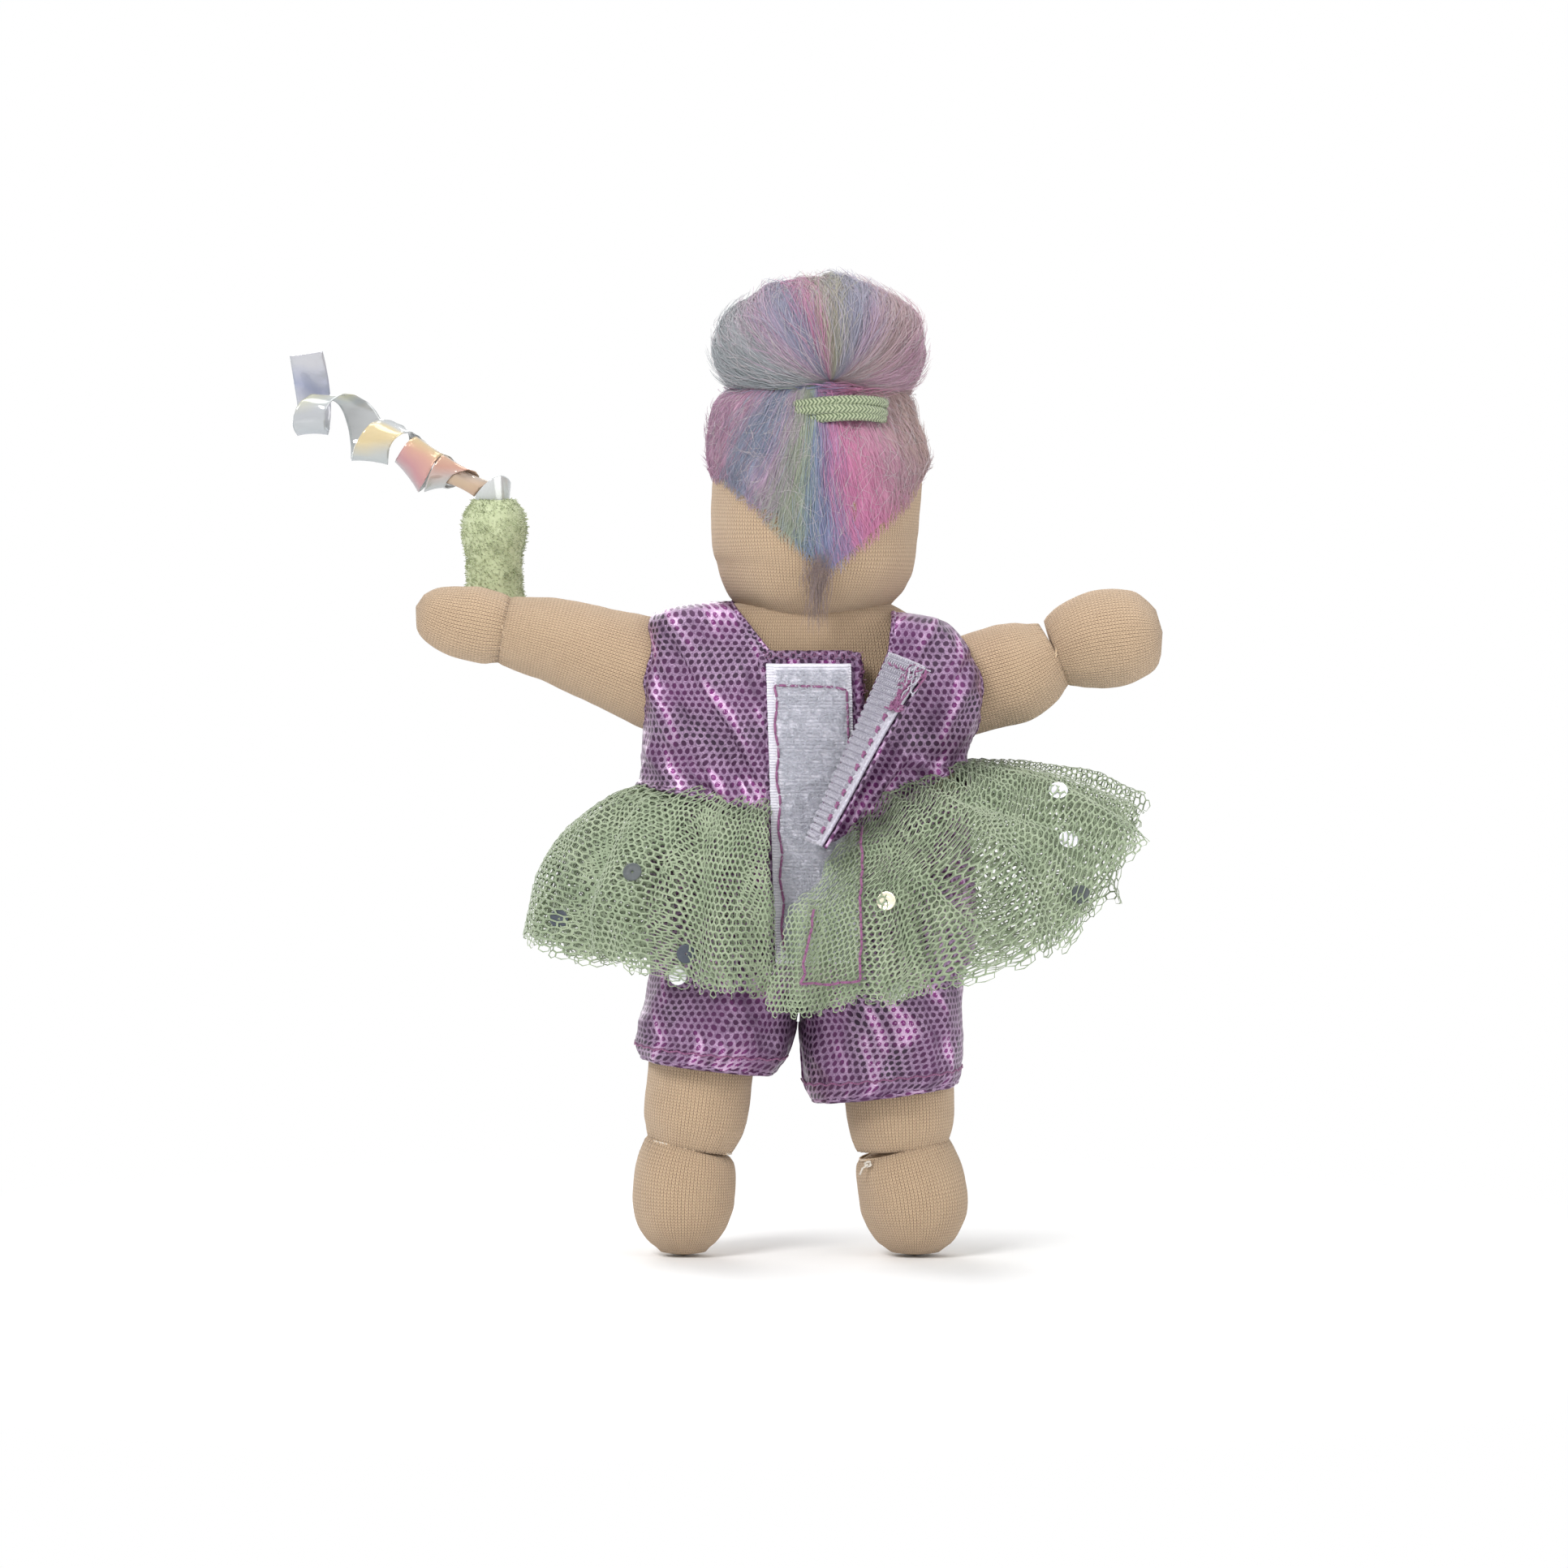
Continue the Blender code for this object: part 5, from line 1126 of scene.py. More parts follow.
def build_tape():
    foot, top = 38.2, 75.3

    def at(share, height, out=0.0):
        return tape_spot(5.8 - 10.7 * share, height, out)

    across, tall = 64, 330
    rows, uvs = [], []
    for j in range(tall + 1):
        height = top + (foot - top) * j / tall
        row = []
        for i in range(across + 1):
            share = i / across
            wale = 0.07 * math.sin(TURN * (top - height) / 0.46)
            edge = share < 0.1 or share > 0.955
            rib = 0.09 * math.sin(TURN * (top - height) / 0.34) - 0.1 if edge else wale
            row.append(at(share, height, rib + 0.1 * noise.noise(Vector((share * 5, height, 0)))))
        rows.append(row)
        uvs.append([(i / across * 10.7, (top - height)) for i in range(across + 1)])
    made = cloth_piece("loop_tape_strip", rows, uvs, [], 0.6 * MM, TAPE)
    rides(made, "torso", "loop_tape", slot="loop_tape")

    lines = []
    for _ in range(9000):
        share = random.uniform(0.13, 0.93)
        height = random.uniform(foot + 0.4, top - 0.5)
        root = at(share, height, 0.32)
        turn = random.uniform(0, 2 * math.pi)
        size = random.uniform(0.22, 0.6) * MM
        step = Vector((math.cos(turn), 0, math.sin(turn))) * size * 0.55
        up = Vector((0, size * random.uniform(0.25, 0.8), 0))
        lean = Vector((random.gauss(0, 0.1), 0, random.gauss(0, 0.1))) * MM
        tops = (root - step * 0.9 + up, root + up * 1.2 + lean, root + step * 0.9 + up)
        lines.append([root - step, *tops, root + step])
    made = strokes("loop_tape_pile", lines, 0.05 * MM, TAPE_PILE, taper=False)
    rides(made, "torso", slot="loop_tape")

    path = [(0.115 + 0.02 * math.sin(t), t) for t in np.arange(foot + 1.4, top - 2.6, 1.5)]
    path += [(s, top - 2.5 - 0.35 * s) for s in np.arange(0.14, 0.9, 0.13)]
    path += [(0.925, t) for t in np.arange(top - 3.2, foot + 22, -1.5)]
    stitches = []
    for a, b in zip(path, path[1:]):
        stitches.append((at(*a, 0.38), at(*b, 0.38)))
    made = stitch_line("loop_tape_thread", stitches, 0.17 * MM, BACK)
    rides(made, "torso", "loop_tape_stitching", slot="mauve_thread")


# Share along a lockstitch, its height over the cloth and its thickness, both in radii of the thread
STITCH_BOW = ((0.0, -0.9, 0.7), (0.12, 0.27, 1.0), (0.35, 0.9, 1.0), (0.65, 0.9, 1.0), (0.88, 0.27, 1.0), (1.0, -0.9, 0.7))


def stitch_line(name, stitches, radius, out):
    """A run of lockstitches: each is a short bowed thread that dips into the cloth at its ends."""
    vertices, faces = [], []
    for start, end in stitches:
        faces += ring_faces(len(vertices), len(STITCH_BOW), 6)
        along = (end - start).normalized()
        side = along.cross(out).normalized()
        for share, height, size in STITCH_BOW:
            middle = start.lerp(end, share) + out * radius * height
            vertices += ring_points(middle, side, side.cross(along), radius * size, 6)
    return add_object(name, vertices, faces, None, MAUVE)


def build_flap():
    """The peeled hook tape with its cloth backing, turned further at its top than at its foot."""
    hinge = joint_at("back_flap_open")
    along = Vector(JOINTS["back_flap_open"]["axis"]).normalized()
    length = 25.3 * MM
    closed = BACK.cross(along).normalized()
    up = along.cross(closed)

    def at(width, height, out=0.0):
        lean = math.radians(95 + 26 * height / length)
        way = closed * math.cos(lean) + up * math.sin(lean)
        normal = along.cross(way)
        share = width / (7.6 * MM)
        ripple = 0.2 * MM * math.sin(height / (4.3 * MM) + 1) * share
        curl = 0.5 * MM * share * share
        return hinge + along * height + way * width + normal * (out + ripple + curl)

    for name, node, low, thick, material, slot, reach, across, tall in (
        ("hook_strip", "hook_tape", 0.0, 0.45 * MM, HOOKS, "hook_tape", 7.5 * MM, 60, 280),
        ("flap_cloth", "flap_facing", 0.62 * MM, 0.3 * MM, SUIT, "suit_foil_mesh", 7.9 * MM, 30, 90),
    ):
        rows, uvs = [], []
        for j in range(tall + 1):
            height = length * j / tall
            row = []
            for i in range(across + 1):
                width = reach * i / across
                serrated = 0.0
                if node == "hook_tape":
                    ribbed = 0.5 * MM < width < 6.5 * MM
                    serrated = 0.1 * MM * math.sin(TURN * height / (0.9 * MM)) if ribbed else -0.06 * MM
                    if i == 0:
                        width -= 0.25 * MM * (math.sin(TURN * height / (0.9 * MM)) > 0)
                row.append(at(width, height, low - serrated))
            rows.append(row)
            uvs.append([(reach / MM * i / across, height / MM) for i in range(across + 1)])
        made = cloth_piece(name, rows, uvs, [], thick, material)
        rides(made, "back_flap", node, slot=slot)

    lines = []
    for j in range(28):
        for i in range(12):
            width = (0.75 + i * 0.49) * MM
            for lean in (-1, 1):
                height = (0.45 + j * 0.9 + lean * 0.14) * MM
                root = at(width, height, -0.2 * MM)
                tip = at(width, height, -0.72 * MM)
                side = along * 0.34 * MM * lean
                lines.append([root, root.lerp(tip, 0.6), tip + side * 0.35, tip + side, tip.lerp(root, 0.4) + side * 1.25])
    made = strokes("hook_pile", lines, 0.17 * MM, HOOKS, taper=False)
    rides(made, "back_flap", slot="hook_tape")
    stitches = []
    for j in range(13):
        start = at(6.45 * MM, (1.4 + j * 1.75) * MM, -0.3 * MM)
        end = at(6.45 * MM, (2.15 + j * 1.75) * MM, -0.3 * MM)
        stitches.append((start, end))
        stitches.append((end, at(6.1 * MM, (2.15 + j * 1.75) * MM, -0.3 * MM)))
    for width in (6.4, 5.0, 3.6, 2.2):
        stitches.append((at(width * MM, 23.9 * MM, -0.4 * MM), at((width - 1.0) * MM, 24.2 * MM, -0.4 * MM)))
    out = (closed * 1.0 + up * 0.2).normalized()
    made = stitch_line("flap_thread", stitches, 0.2 * MM, out)
    rides(made, "back_flap", "flap_stitching", slot="mauve_thread")

    for name, material, slot, count, size in (
        ("flap_thread_tangle", MAUVE, "mauve_thread", 12, 0.13),
        ("flap_thread_ends", HOOKS, "white_thread", 5, 0.1),
    ):
        parts = []
        for _ in range(count):
            width, height = random.uniform(6.2, 8.6), random.uniform(19.5, 24.5)
            spots = []
            for k in range(9):
                width += random.gauss(0, 0.55)
                height += random.gauss(0, 0.75)
                width = min(max(width, 5.6), 9.2)
                height = min(max(height, 18.8), 25.0)
                spots.append(at(width * MM, height * MM, -random.uniform(0.25, 0.9) * MM))
            fine = [Vector(p) for p in smooth_path(spots, 5)]
            parts.append(twist_thread("strand", fine, size * MM, material))
        made = joined(name, parts)
        rides(made, "back_flap", slot=slot)


def smooth_path(spots, steps):
    """A smooth curve through places, or through rows of numbers."""
    found = []
    last = len(spots) - 1
    for i in range(last):
        four = [np.array(spots[min(max(i + k, 0), last)], float) for k in (-1, 0, 1, 2)]
        for k in range(steps):
            t = k / steps
            weights = (-t + 2 * t**2 - t**3, 2 - 5 * t**2 + 3 * t**3, t + 4 * t**2 - 3 * t**3, t**3 - t**2)
            found.append(sum(w * p for w, p in zip(weights, four)) / 2)
    found.append(np.array(spots[-1], float))
    return found


# Net skirt


SKIRT_ROWS = [
    (0.0, 76, 1.00, 0.0), (0.08, 74, 1.02, 0.1), (0.16, 64, 0.98, 0.35), (0.25, 56, 0.97, 0.35),
    (0.34, 64, 1.00, 0.2), (0.50, 70, 1.05, 0.0), (0.64, 60, 1.05, 0.2), (0.69, 44, 1.05, 0.6),
    (0.73, 22, 0.84, 0.9), (0.77, 13, 0.76, 1.0), (0.82, 29, 0.93, 0.95), (0.86, 48, 1.14, 0.7),
    (0.90, 64, 1.06, 0.2), (0.95, 76, 0.95, -0.4), (1.0, 80, 0.91, -0.9), (1.1, 80, 0.91, -0.9),
]
SLIT_START = [(0.0, 0.068), (0.3, 0.052), (0.6, 0.043), (1.0, 0.039)]
SLIT_END = [(0.0, 0.935), (0.25, 0.988), (0.5, 1.026), (1.0, 1.048)]


def step_eased(rows, place):
    for before, after in zip(rows, rows[1:]):
        if place <= after[0]:
            t = max((place - before[0]) / (after[0] - before[0]), 0)
            t = t * t * (3 - 2 * t)
            return [a + (b - a) * t for a, b in zip(before[1:], after[1:])]
    return list(rows[-1][1:])


def skirt_point(turn, fall, layer=0, proud=0.0, extra=0.0):
    """A place of the net, in millimetres from the doll's middle, by the same rule as its solid."""
    angle = TURN * turn
    droop, length, rise = step_eased(SKIRT_ROWS, turn)
    droop += 7 * layer
    depth = 11.75
    if turn > 0.5:
        depth += (14.85 - 11.75) * (1 - math.cos(math.pi * min((turn - 0.5) / 0.25, 1))) / 2
    sine, cosine = math.sin(angle), math.cos(angle)
    reach = plan(angle, 21.55, depth)
    r, z = reach, 58.8 + 4.4 * rise

    first = 0.3 + 0.25 * min(max((droop - 56) / 18, 0), 1)

    def slope(share):
        return min(math.radians(droop) * (first + (1.75 - 1.55 * first) * fall * share), math.pi / 2)

    start = slope(0)
    r -= math.sin(start) * layer * 0.85
    z -= math.cos(start) * layer * 0.85
    steps = 8
    run = 26.5 * length * (1 - 0.06 * layer) * fall / steps
    for i in range(steps):
        here = slope((i + 0.5) / steps)
        r += math.cos(here) * run
        z -= math.sin(here) * run
    r -= 2.8 * max(0.0, 1 - fall / 0.15)
    wave = math.sin(15 * angle + 2.2 * layer) + 0.4 * math.sin(31 * angle + 1.1 * layer)
    out = 1.7 * fall * wave + proud
    out += extra * (0.5 * fall + 0.15) * noise.noise(Vector((turn * 34, fall * 3.0, layer * 9.1)))
    gather = math.exp(-fall / 0.22) * min(1.0, fall / 0.06)
    out += 0.6 * gather * math.sin(50 * angle + 2.5 * math.sin(5 * angle) + 2 * layer)
    if cosine > 0:
        out += net_folds(r * sine, z)
    end = slope(1)
    r += math.sin(end) * out
    z += math.cos(end) * out
    return Vector((r * sine, r * cosine, z))


NET_FOLDS = [
    ((-8.2, 56.5), (-21.0, 44.5), 1.3, -2.2), ((-9.0, 59.5), (-24.0, 50.5), 1.6, 1.3),
    ((-6.0, 54.0), (-11.0, 38.0), 1.4, 1.2), ((-13.0, 60.5), (-31.0, 57.0), 1.2, -1.4),
    ((-10.0, 53.0), (-15.5, 36.0), 1.1, -1.3), ((17.5, 58.0), (20.5, 44.0), 1.2, -1.6),
    ((20.5, 58.5), (26.0, 44.0), 1.3, 1.2), ((11.0, 57.5), (11.5, 38.0), 1.3, 0.9),
    ((14.0, 57.5), (14.5, 36.0), 1.0, -0.9), ((24.5, 58.0), (32.0, 43.0), 1.1, -1.1),
]


def net_folds(x, z):
    """How far the back of the net stands out or sinks in along its larger folds, in millimetres."""
    total = 0.0
    for (ax, az), (bx, bz), across, depth in NET_FOLDS:
        dx, dz = bx - ax, bz - az
        share = ((x - ax) * dx + (z - az) * dz) / (dx * dx + dz * dz)
        held = min(max(share, 0.0), 1.0)
        away = math.hypot(x - ax - dx * held, z - az - dz * held)
        total += depth * math.exp(-((away / across) ** 2)) * min(1.0, 0.3 + held)
    return total


def net(name, layer, first, last, columns, down, slit=True, hem_seed=0):
    """Hexagonal net as real threads: each cell is a frame whose threads are ridged along their middle."""
    generator = random.Random(hem_seed)
    vertices, faces = [], []
    index = {}

    def clamp_turn(turn, fall):
        if not slit:
            return turn
        low = step_eased(SLIT_START, fall)[0]
        high = step_eased(SLIT_END, fall)[0]
        return low + (high - low) * turn

    def corner(a, b):
        key = (round(a * 6), round(b * 6))
        if key not in index:
            fall = min(b / down, 1.12)
            share = a / columns
            turn = clamp_turn(first + (last - first) * share, min(fall, 1))
            place = skirt_point(turn, fall, layer, 0.0, 1.6)
            jitter = 0.07
            place += Vector([generator.uniform(-jitter, jitter) for _ in range(3)])
            index[key] = len(vertices)
            vertices.append(place)
        return index[key]

    hem = [1.0 + 0.05 * noise.noise(Vector((k * 0.21, hem_seed, 0))) + generator.uniform(-0.025, 0.02) for k in range(columns + 2)]
    hexes = []
    b = 0.0
    odd = 0
    while b < down * 1.1:
        for k in range(columns):
            a = k + (0.5 if odd else 0.0)
            if a + 0.5 > columns:
                continue
            if b / down > hem[k]:
                continue
            ring = [(a + 0.5, b - 1 / 3), (a + 0.5, b + 1 / 3), (a, b + 2 / 3), (a - 0.5, b + 1 / 3), (a - 0.5, b - 1 / 3), (a, b - 2 / 3)]
            if any(p[0] < 0 for p in ring):
                continue
            hexes.append([corner(x, max(y, 0)) for x, y in ring])
        b += 1.0
        odd = 1 - odd
    for ring in hexes:
        if len(set(ring)) < 6:
            continue
        centre = sum((vertices[i] for i in ring), Vector()) / 6
        a, c = vertices[ring[1]] - vertices[ring[4]], vertices[ring[2]] - vertices[ring[5]]
        normal = a.cross(c)
        if normal.length < 1e-9:
            continue
        normal.normalize()
        if normal.dot(Vector((centre.x, centre.y, 10))) < 0:
            normal = -normal
        inner = []
        for i in ring:
            off = centre - vertices[i]
            near = min(0.145 / max(off.length, 0.05), 0.34)
            vertices.append(vertices[i] + off * near - normal * 0.07)
            inner.append(len(vertices) - 1)
        for k in range(6):
            m = (k + 1) % 6
            faces.append((ring[k], ring[m], inner[m], inner[k]))
    made = add_object(name, [MIDDLE + v * MM for v in vertices], faces, None, TULLE)
    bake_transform(made)
    return made


def net_spot(x, z, proud):
    """The place and outward side of the outer net's back nearest a point seen from behind, in millimetres."""
    best = None
    for i in range(150):
        turn = 0.78 + 0.26 * i / 149 if x < 3 else 0.02 + 0.3 * i / 149
        for j in range(60):
            place = skirt_point(turn, 0.03 + 0.97 * j / 59, 0, 0.0, 1.6)
            off = math.hypot(place.x - x, place.z - z) - 0.02 * place.y
            if best is None or off < best[0]:
                best = (off, turn, 0.03 + 0.97 * j / 59)
    _, turn, fall = best
    here = skirt_point(turn, fall, 0, 0.0, 1.6)
    across = skirt_point(turn + 0.004, fall, 0, 0.0, 1.6) - here
    down = skirt_point(turn, min(fall + 0.03, 1.0), 0, 0.0, 1.6) - skirt_point(turn, fall - 0.03, 0, 0.0, 1.6)
    normal = across.cross(down).normalized()
    if normal.y < 0:
        normal = -normal
    return MIDDLE + (here + normal * proud) * MM, normal


def build_sequins():
    """Flat iridescent sequins with a small hole, just under the outer net."""
    places = [(22.4, 49.9), (15.6, 39.6), (-30.4, 60.0), (-8.9, 46.4), (-10.5, 35.2)]
    places += [(31.4, 43.7), (-31.9, 54.0), (-33.0, 47.5), (17.5, 32.9)]
    looks = [0, 1, 4, 3, 2, 1, 4, 0, 4]
    for number, (x, z) in enumerate(places):
        spot_here, normal = net_spot(x, z, 0.1 if number < 2 else -0.25)
        side = normal.orthogonal().normalized()
        over = normal.cross(side)
        rings = [
            (0.16, 0.05), (0.22, 0.09), (0.6, 0.02), (1.0, 0.05), (1.16, 0.1), (1.2, 0.04), (1.16, -0.02),
            (0.6, -0.06), (0.22, 0.0),
        ]
        rows = []
        for radius, lift in rings:
            row = []
            for i in range(32):
                angle = TURN * i / 32
                facet = 1 + 0.015 * math.cos(16 * angle)
                row.append(spot_here + (side * math.cos(angle) + over * math.sin(angle)) * radius * facet * MM + normal * lift * MM)
            rows.append(row)
        rows.append(rows[0])
        uvs = [[(i / 32, j / 9) for i in range(33)] for j in range(len(rows))]
        made = surface(f"sequin_disc_{number + 1}", rows, uvs, SEQUINS[looks[number]])
        nodes = [f"sequin_{number + 1}"] if number < 5 else []
        rides(made, "torso", *nodes, slot="film")


def build_skirt_stitches():
    """The rectangle of mauve thread that holds the net's edge to the panel."""
    path = [(-6.2, 55.2), (-6.1, 46.0), (-5.9, 36.6), (-2.4, 36.1), (1.3, 36.4), (0.9, 40.0), (-0.4, 46.4)]
    spots = []
    for (x0, z0), (x1, z1) in zip(path, path[1:]):
        count = max(int(math.hypot(x1 - x0, z1 - z0) / 0.95), 1)
        for k in range(count):
            t = k / count
            wander = 0.12 * math.sin(9 * t + x0)
            spots.append(net_spot(x0 + (x1 - x0) * t + wander, z0 + (z1 - z0) * t, 0.22)[0])
    made = stitch_line("skirt_thread_rectangle", list(zip(spots, spots[1:])), 0.17 * MM, BACK)
    rides(made, "torso", "skirt_stitching", slot="mauve_thread")


def build_skirt():
    outer_left = net("tulle_outer_left", 0, 0.0, 0.54, 112, 33, hem_seed=3)
    outer_right = net("tulle_outer_right", 0, 0.46, 1.0, 112, 33, hem_seed=5)
    net("tulle_middle_left", 0.55, 0.0, 0.54, 108, 32, hem_seed=7)
    net("tulle_middle_right", 0.55, 0.46, 0.98, 106, 32, hem_seed=9)
    net("tulle_ruffle_left", 0.85, 0.1, 0.38, 58, 31, hem_seed=13)
    net("tulle_ruffle_right", 0.85, 0.62, 0.9, 58, 31, hem_seed=19)
    net("tulle_inner_left", 1.2, 0.0, 0.54, 104, 31, hem_seed=11)
    net("tulle_inner_right", 1.2, 0.46, 1.0, 104, 31, hem_seed=17)
    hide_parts("skirt_outer")
    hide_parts("skirt_inner")
    points = []
    count = 90
    for i in range(count + 1):
        low, high = step_eased(SLIT_START, 0.03)[0], step_eased(SLIT_END, 0.03)[0]
        points.append(MIDDLE + skirt_point(low + (high - low) * i / count, 0.03, 0, -0.2) * MM)
    made = twist_thread("waist_gathers_thread", points, 0.16 * MM, TULLE)
    rides(made, "torso", "waist_gathering_thread", slot="tulle")


# Hair


HAIR_OUTLINE = [
    (84.0, 12.9, 12.9), (90.0, 13.2, 13.2), (95.0, 13.3, 13.35), (98.0, 13.4, 13.8), (100.0, 13.45, 14.2),
    (102.0, 13.4, 14.1), (104.0, 13.3, 13.5), (106.5, 13.0, 12.6), (108.3, 12.4, 12.1), (109.6, 11.1, 11.1),
    (110.4, 9.6, 9.6), (110.9, 7.6, 7.6),
]


def hairline(angle):
    """Height of the hair's lower edge at an angle round from the back, in millimetres."""
    x = 13.6 * math.sin(angle)
    back = 87.0 + abs(x + 1.6) * 0.86
    side = 98.6
    front = 101.6
    if abs(angle) < math.radians(62):
        return min(back, side)
    t = min((abs(angle) - math.radians(62)) / math.radians(60), 1)
    t = t * t * (3 - 2 * t)
    return min(back, side) + (front - min(back, side)) * t


def cap_point(angle, share, out=0.0):
    """A place of the swept-up hair: share 0 at the hairline, 1 under the bun."""
    bend = 0.75 * share
    turned = math.copysign(math.pi * (abs(angle) / math.pi) ** (1 + bend), angle)
    low = hairline(angle)
    height = low + (110.9 - low) * share
    left, right = eased(HAIR_OUTLINE, height)
    radius = left + (right - left) * (1 - math.sin(turned)) / 2
    head = 13.1 if height < 100 else radius - 0.6
    lift = min(max(share * 5, 0.03), 1)
    lift = lift * (2 - lift)
    ridge = 0.22 * math.sin(turned * 9 + 1.0) + 0.14 * math.sin(turned * 23) + 0.1 * math.sin(turned * 41 + 2)
    radius = head + (radius - head) * lift + ridge * lift * 0.8 + out
    x, y = radius * math.sin(turned), radius * 0.985 * math.cos(turned)
    dent = math.exp(-(((height - 107.3) / 2.6) ** 2)) * max(0.0, 1 - ((x + 2.9) / 8.6) ** 2)
    if y > 0:
        y -= 1.6 * dent
    return doll(x - 0.47, y, height)


BUN_CENTRE = Vector((-1.2, 0, 115.4))
POLE = Vector((-0.12, 0.86, -0.50)).normalized()


def bun_point(angle, share, out=0.0):
    """A place of the bun: share 0 at the tie, 1 at its other end; the fibres run from one to the other."""
    side = Vector((1, 0, 0))
    side = (side - POLE * side.dot(POLE)).normalized()
    over = POLE.cross(side)
    polar = math.pi * share
    way = POLE * math.cos(polar) + (side * math.cos(angle) + over * math.sin(angle)) * math.sin(polar)
    top = 8.9 if way.z > 0 else 9.4
    reach = (abs(way.x / 13.9) ** 2.15 + abs(way.y / 12.2) ** 2.3 + abs(way.z / top) ** 2.15) ** (-1 / 2.2)
    lobes = 0.34 * math.sin(3 * angle + 0.6) + 0.26 * math.sin(7 * angle + 2.0) + 0.2 * math.sin(13 * angle)
    lobes += 0.14 * math.sin(29 * angle + 3 * share)
    reach += lobes * math.sin(polar) * 0.8
    gather = max(0.0, 1 - share / 0.22)
    reach -= 2.6 * gather * gather
    place = BUN_CENTRE + way * (reach + out)
    near = max(0.0, 1 - ((place.x + 3.0) / 8.0) ** 2) * max(0.0, min(1.0, (place.y - 4) / 5))
    low = 108.5 + 0.4 * near
    place.z = low + out + 0.8 * math.log1p(math.exp(min((place.z - out - low) / 0.8, 30)))
    return MIDDLE + place * MM


def build_hair():
    rows, uvs = [], []
    around, tall = 220, 60
    for j in range(tall + 1):
        share = j / tall
        row, uv = [], []
        for i in range(around):
            angle = math.pi * (2 * i / around - 1)
            row.append(cap_point(angle, share))
        for i in range(around + 1):
            uv.append((streak_of(math.pi * (2 * i / around - 1)), share * 2))
        rows.append(row)
        uvs.append(uv)
    made = surface("hair_swept_up", rows, uvs, WOOL, caps=(False, True))
    rides(made, "head", "hair_cap", slot="hair_wool")

    rows, uvs = [], []
    for j in range(tall + 1):
        share = 0.004 + 0.992 * j / tall
        rows.append([bun_point(TURN * i / around, share) for i in range(around)])
        uvs.append([(bun_streak(TURN * i / around), share * 3) for i in range(around + 1)])
    made = surface("hair_bun_wool", rows, uvs, BUN_WOOL, caps=(True, True))
    rides(made, "head", "hair_bun", slot="hair_wool")

    build_loose_fibres()
    lines, places = [], []
    for _ in range(8500):
        angle = random.uniform(-math.pi, math.pi)
        edge = random.random() < 0.3
        start = random.uniform(-0.07, 0.03) if edge else random.uniform(-0.03, 0.75)
        span = random.uniform(0.06, 0.2) if edge else random.uniform(0.2, 0.5)
        drift = random.gauss(0, 0.06)
        lift = random.uniform(0.02, 0.3)
        stray = random.random() < 0.06
        points = []
        for k in range(7):
            t = k / 6
            share = min(start + span * t, 1)
            out = lift * math.sin(math.pi * t) + (0.9 * t * t if stray else 0.0) + (0.12 if edge else 0.0)
            points.append(cap_point(wrap(angle + drift * t), share, out))
        lines.append(points)
        places.append((streak_of(angle) + random.gauss(0, 0.035), start * 2, (start + span) * 2))
    made = strokes("hair_swept_fibres", lines, 0.065 * MM, WOOL, places)
    rides(made, "head", slot="hair_wool")

    lines, places = [], []
    for _ in range(9500):
        angle = random.uniform(0, 2 * math.pi)
        start = random.uniform(0.02, 0.8)
        span = random.uniform(0.1, 0.35)
        drift = random.gauss(0, 0.16)
        lift = random.uniform(0.02, 0.4)
        stray = random.random() < 0.1
        points = []
        for k in range(7):
            t = k / 6
            share = min(start + span * t, 0.99)
            out = lift * math.sin(math.pi * t) + (1.2 * t * t if stray else 0.0)
            points.append(bun_point(angle + drift * t, share, out))
        lines.append(points)
        places.append((bun_streak(angle) + random.gauss(0, 0.035), start * 3, (start + span) * 3))
    made = strokes("hair_bun_fibres", lines, 0.065 * MM, BUN_WOOL, places)
    rides(made, "head", slot="hair_wool")
    build_hair_tie()
    build_wisp()


def build_loose_fibres():
    """Pale crossing fibres over both parts of the hair, and fibres wound along the join below the bun."""
    lines = []
    for _ in range(2600):
        on_bun = random.random() < 0.6
        angle = random.uniform(-math.pi, math.pi)
        start, span = random.uniform(0.02, 0.8), random.uniform(0.05, 0.2)
        drift, curl, phase = random.gauss(0, 0.2), random.gauss(0, 0.035), random.uniform(0, 6)
        lift = random.uniform(0.15, 0.55)
        points = []
        for k in range(9):
            t = k / 8
            turn = angle + drift * t + curl * math.sin(phase + 5 * t)
            share = min(start + span * t, 0.96)
            out = lift * (0.4 + 0.6 * math.sin(math.pi * t))
            points.append(bun_point(turn, share, out) if on_bun else cap_point(wrap(turn), share, out))
        lines.append(points)
    made = strokes("hair_crossing_fibres", lines, 0.045 * MM, PALE)
    rides(made, "head", slot="hair_wool")

    lines, places = [], []
    for _ in range(1500):
        angle = random.uniform(-math.pi, math.pi)
        span = random.uniform(0.15, 0.6)
        height, climb = random.gauss(109.5, 0.4), random.gauss(0, 0.5)
        radius, phase = random.gauss(10.9, 0.45), random.uniform(0, 6)
        points = []
        for k in range(9):
            t = k / 8
            turn = angle + span * t
            out = radius + 0.25 * math.sin(phase + 4 * t)
            points.append(doll(out * 1.02 * math.sin(turn) - 0.7, out * 0.93 * math.cos(turn), height + climb * t + 0.2 * math.sin(phase + 5 * t)))
        lines.append(points)
        places.append((streak_of(wrap(angle)) + random.gauss(0, 0.06), 1.4, 2.0))
    made = strokes("hair_wound_fibres", lines, 0.075 * MM, WOOL, places)
    rides(made, "head", slot="hair_wool")


def wrap(angle):
    return (angle + math.pi) % (2 * math.pi) - math.pi


def streak_of(angle):
    """Colour streak of the swept-up hair at an angle; the left of the photograph is at +X."""
    return 0.5 - 0.49 * math.sin(angle * 0.83)


def bun_streak(angle):
    return 0.5 - 0.49 * math.cos(angle)


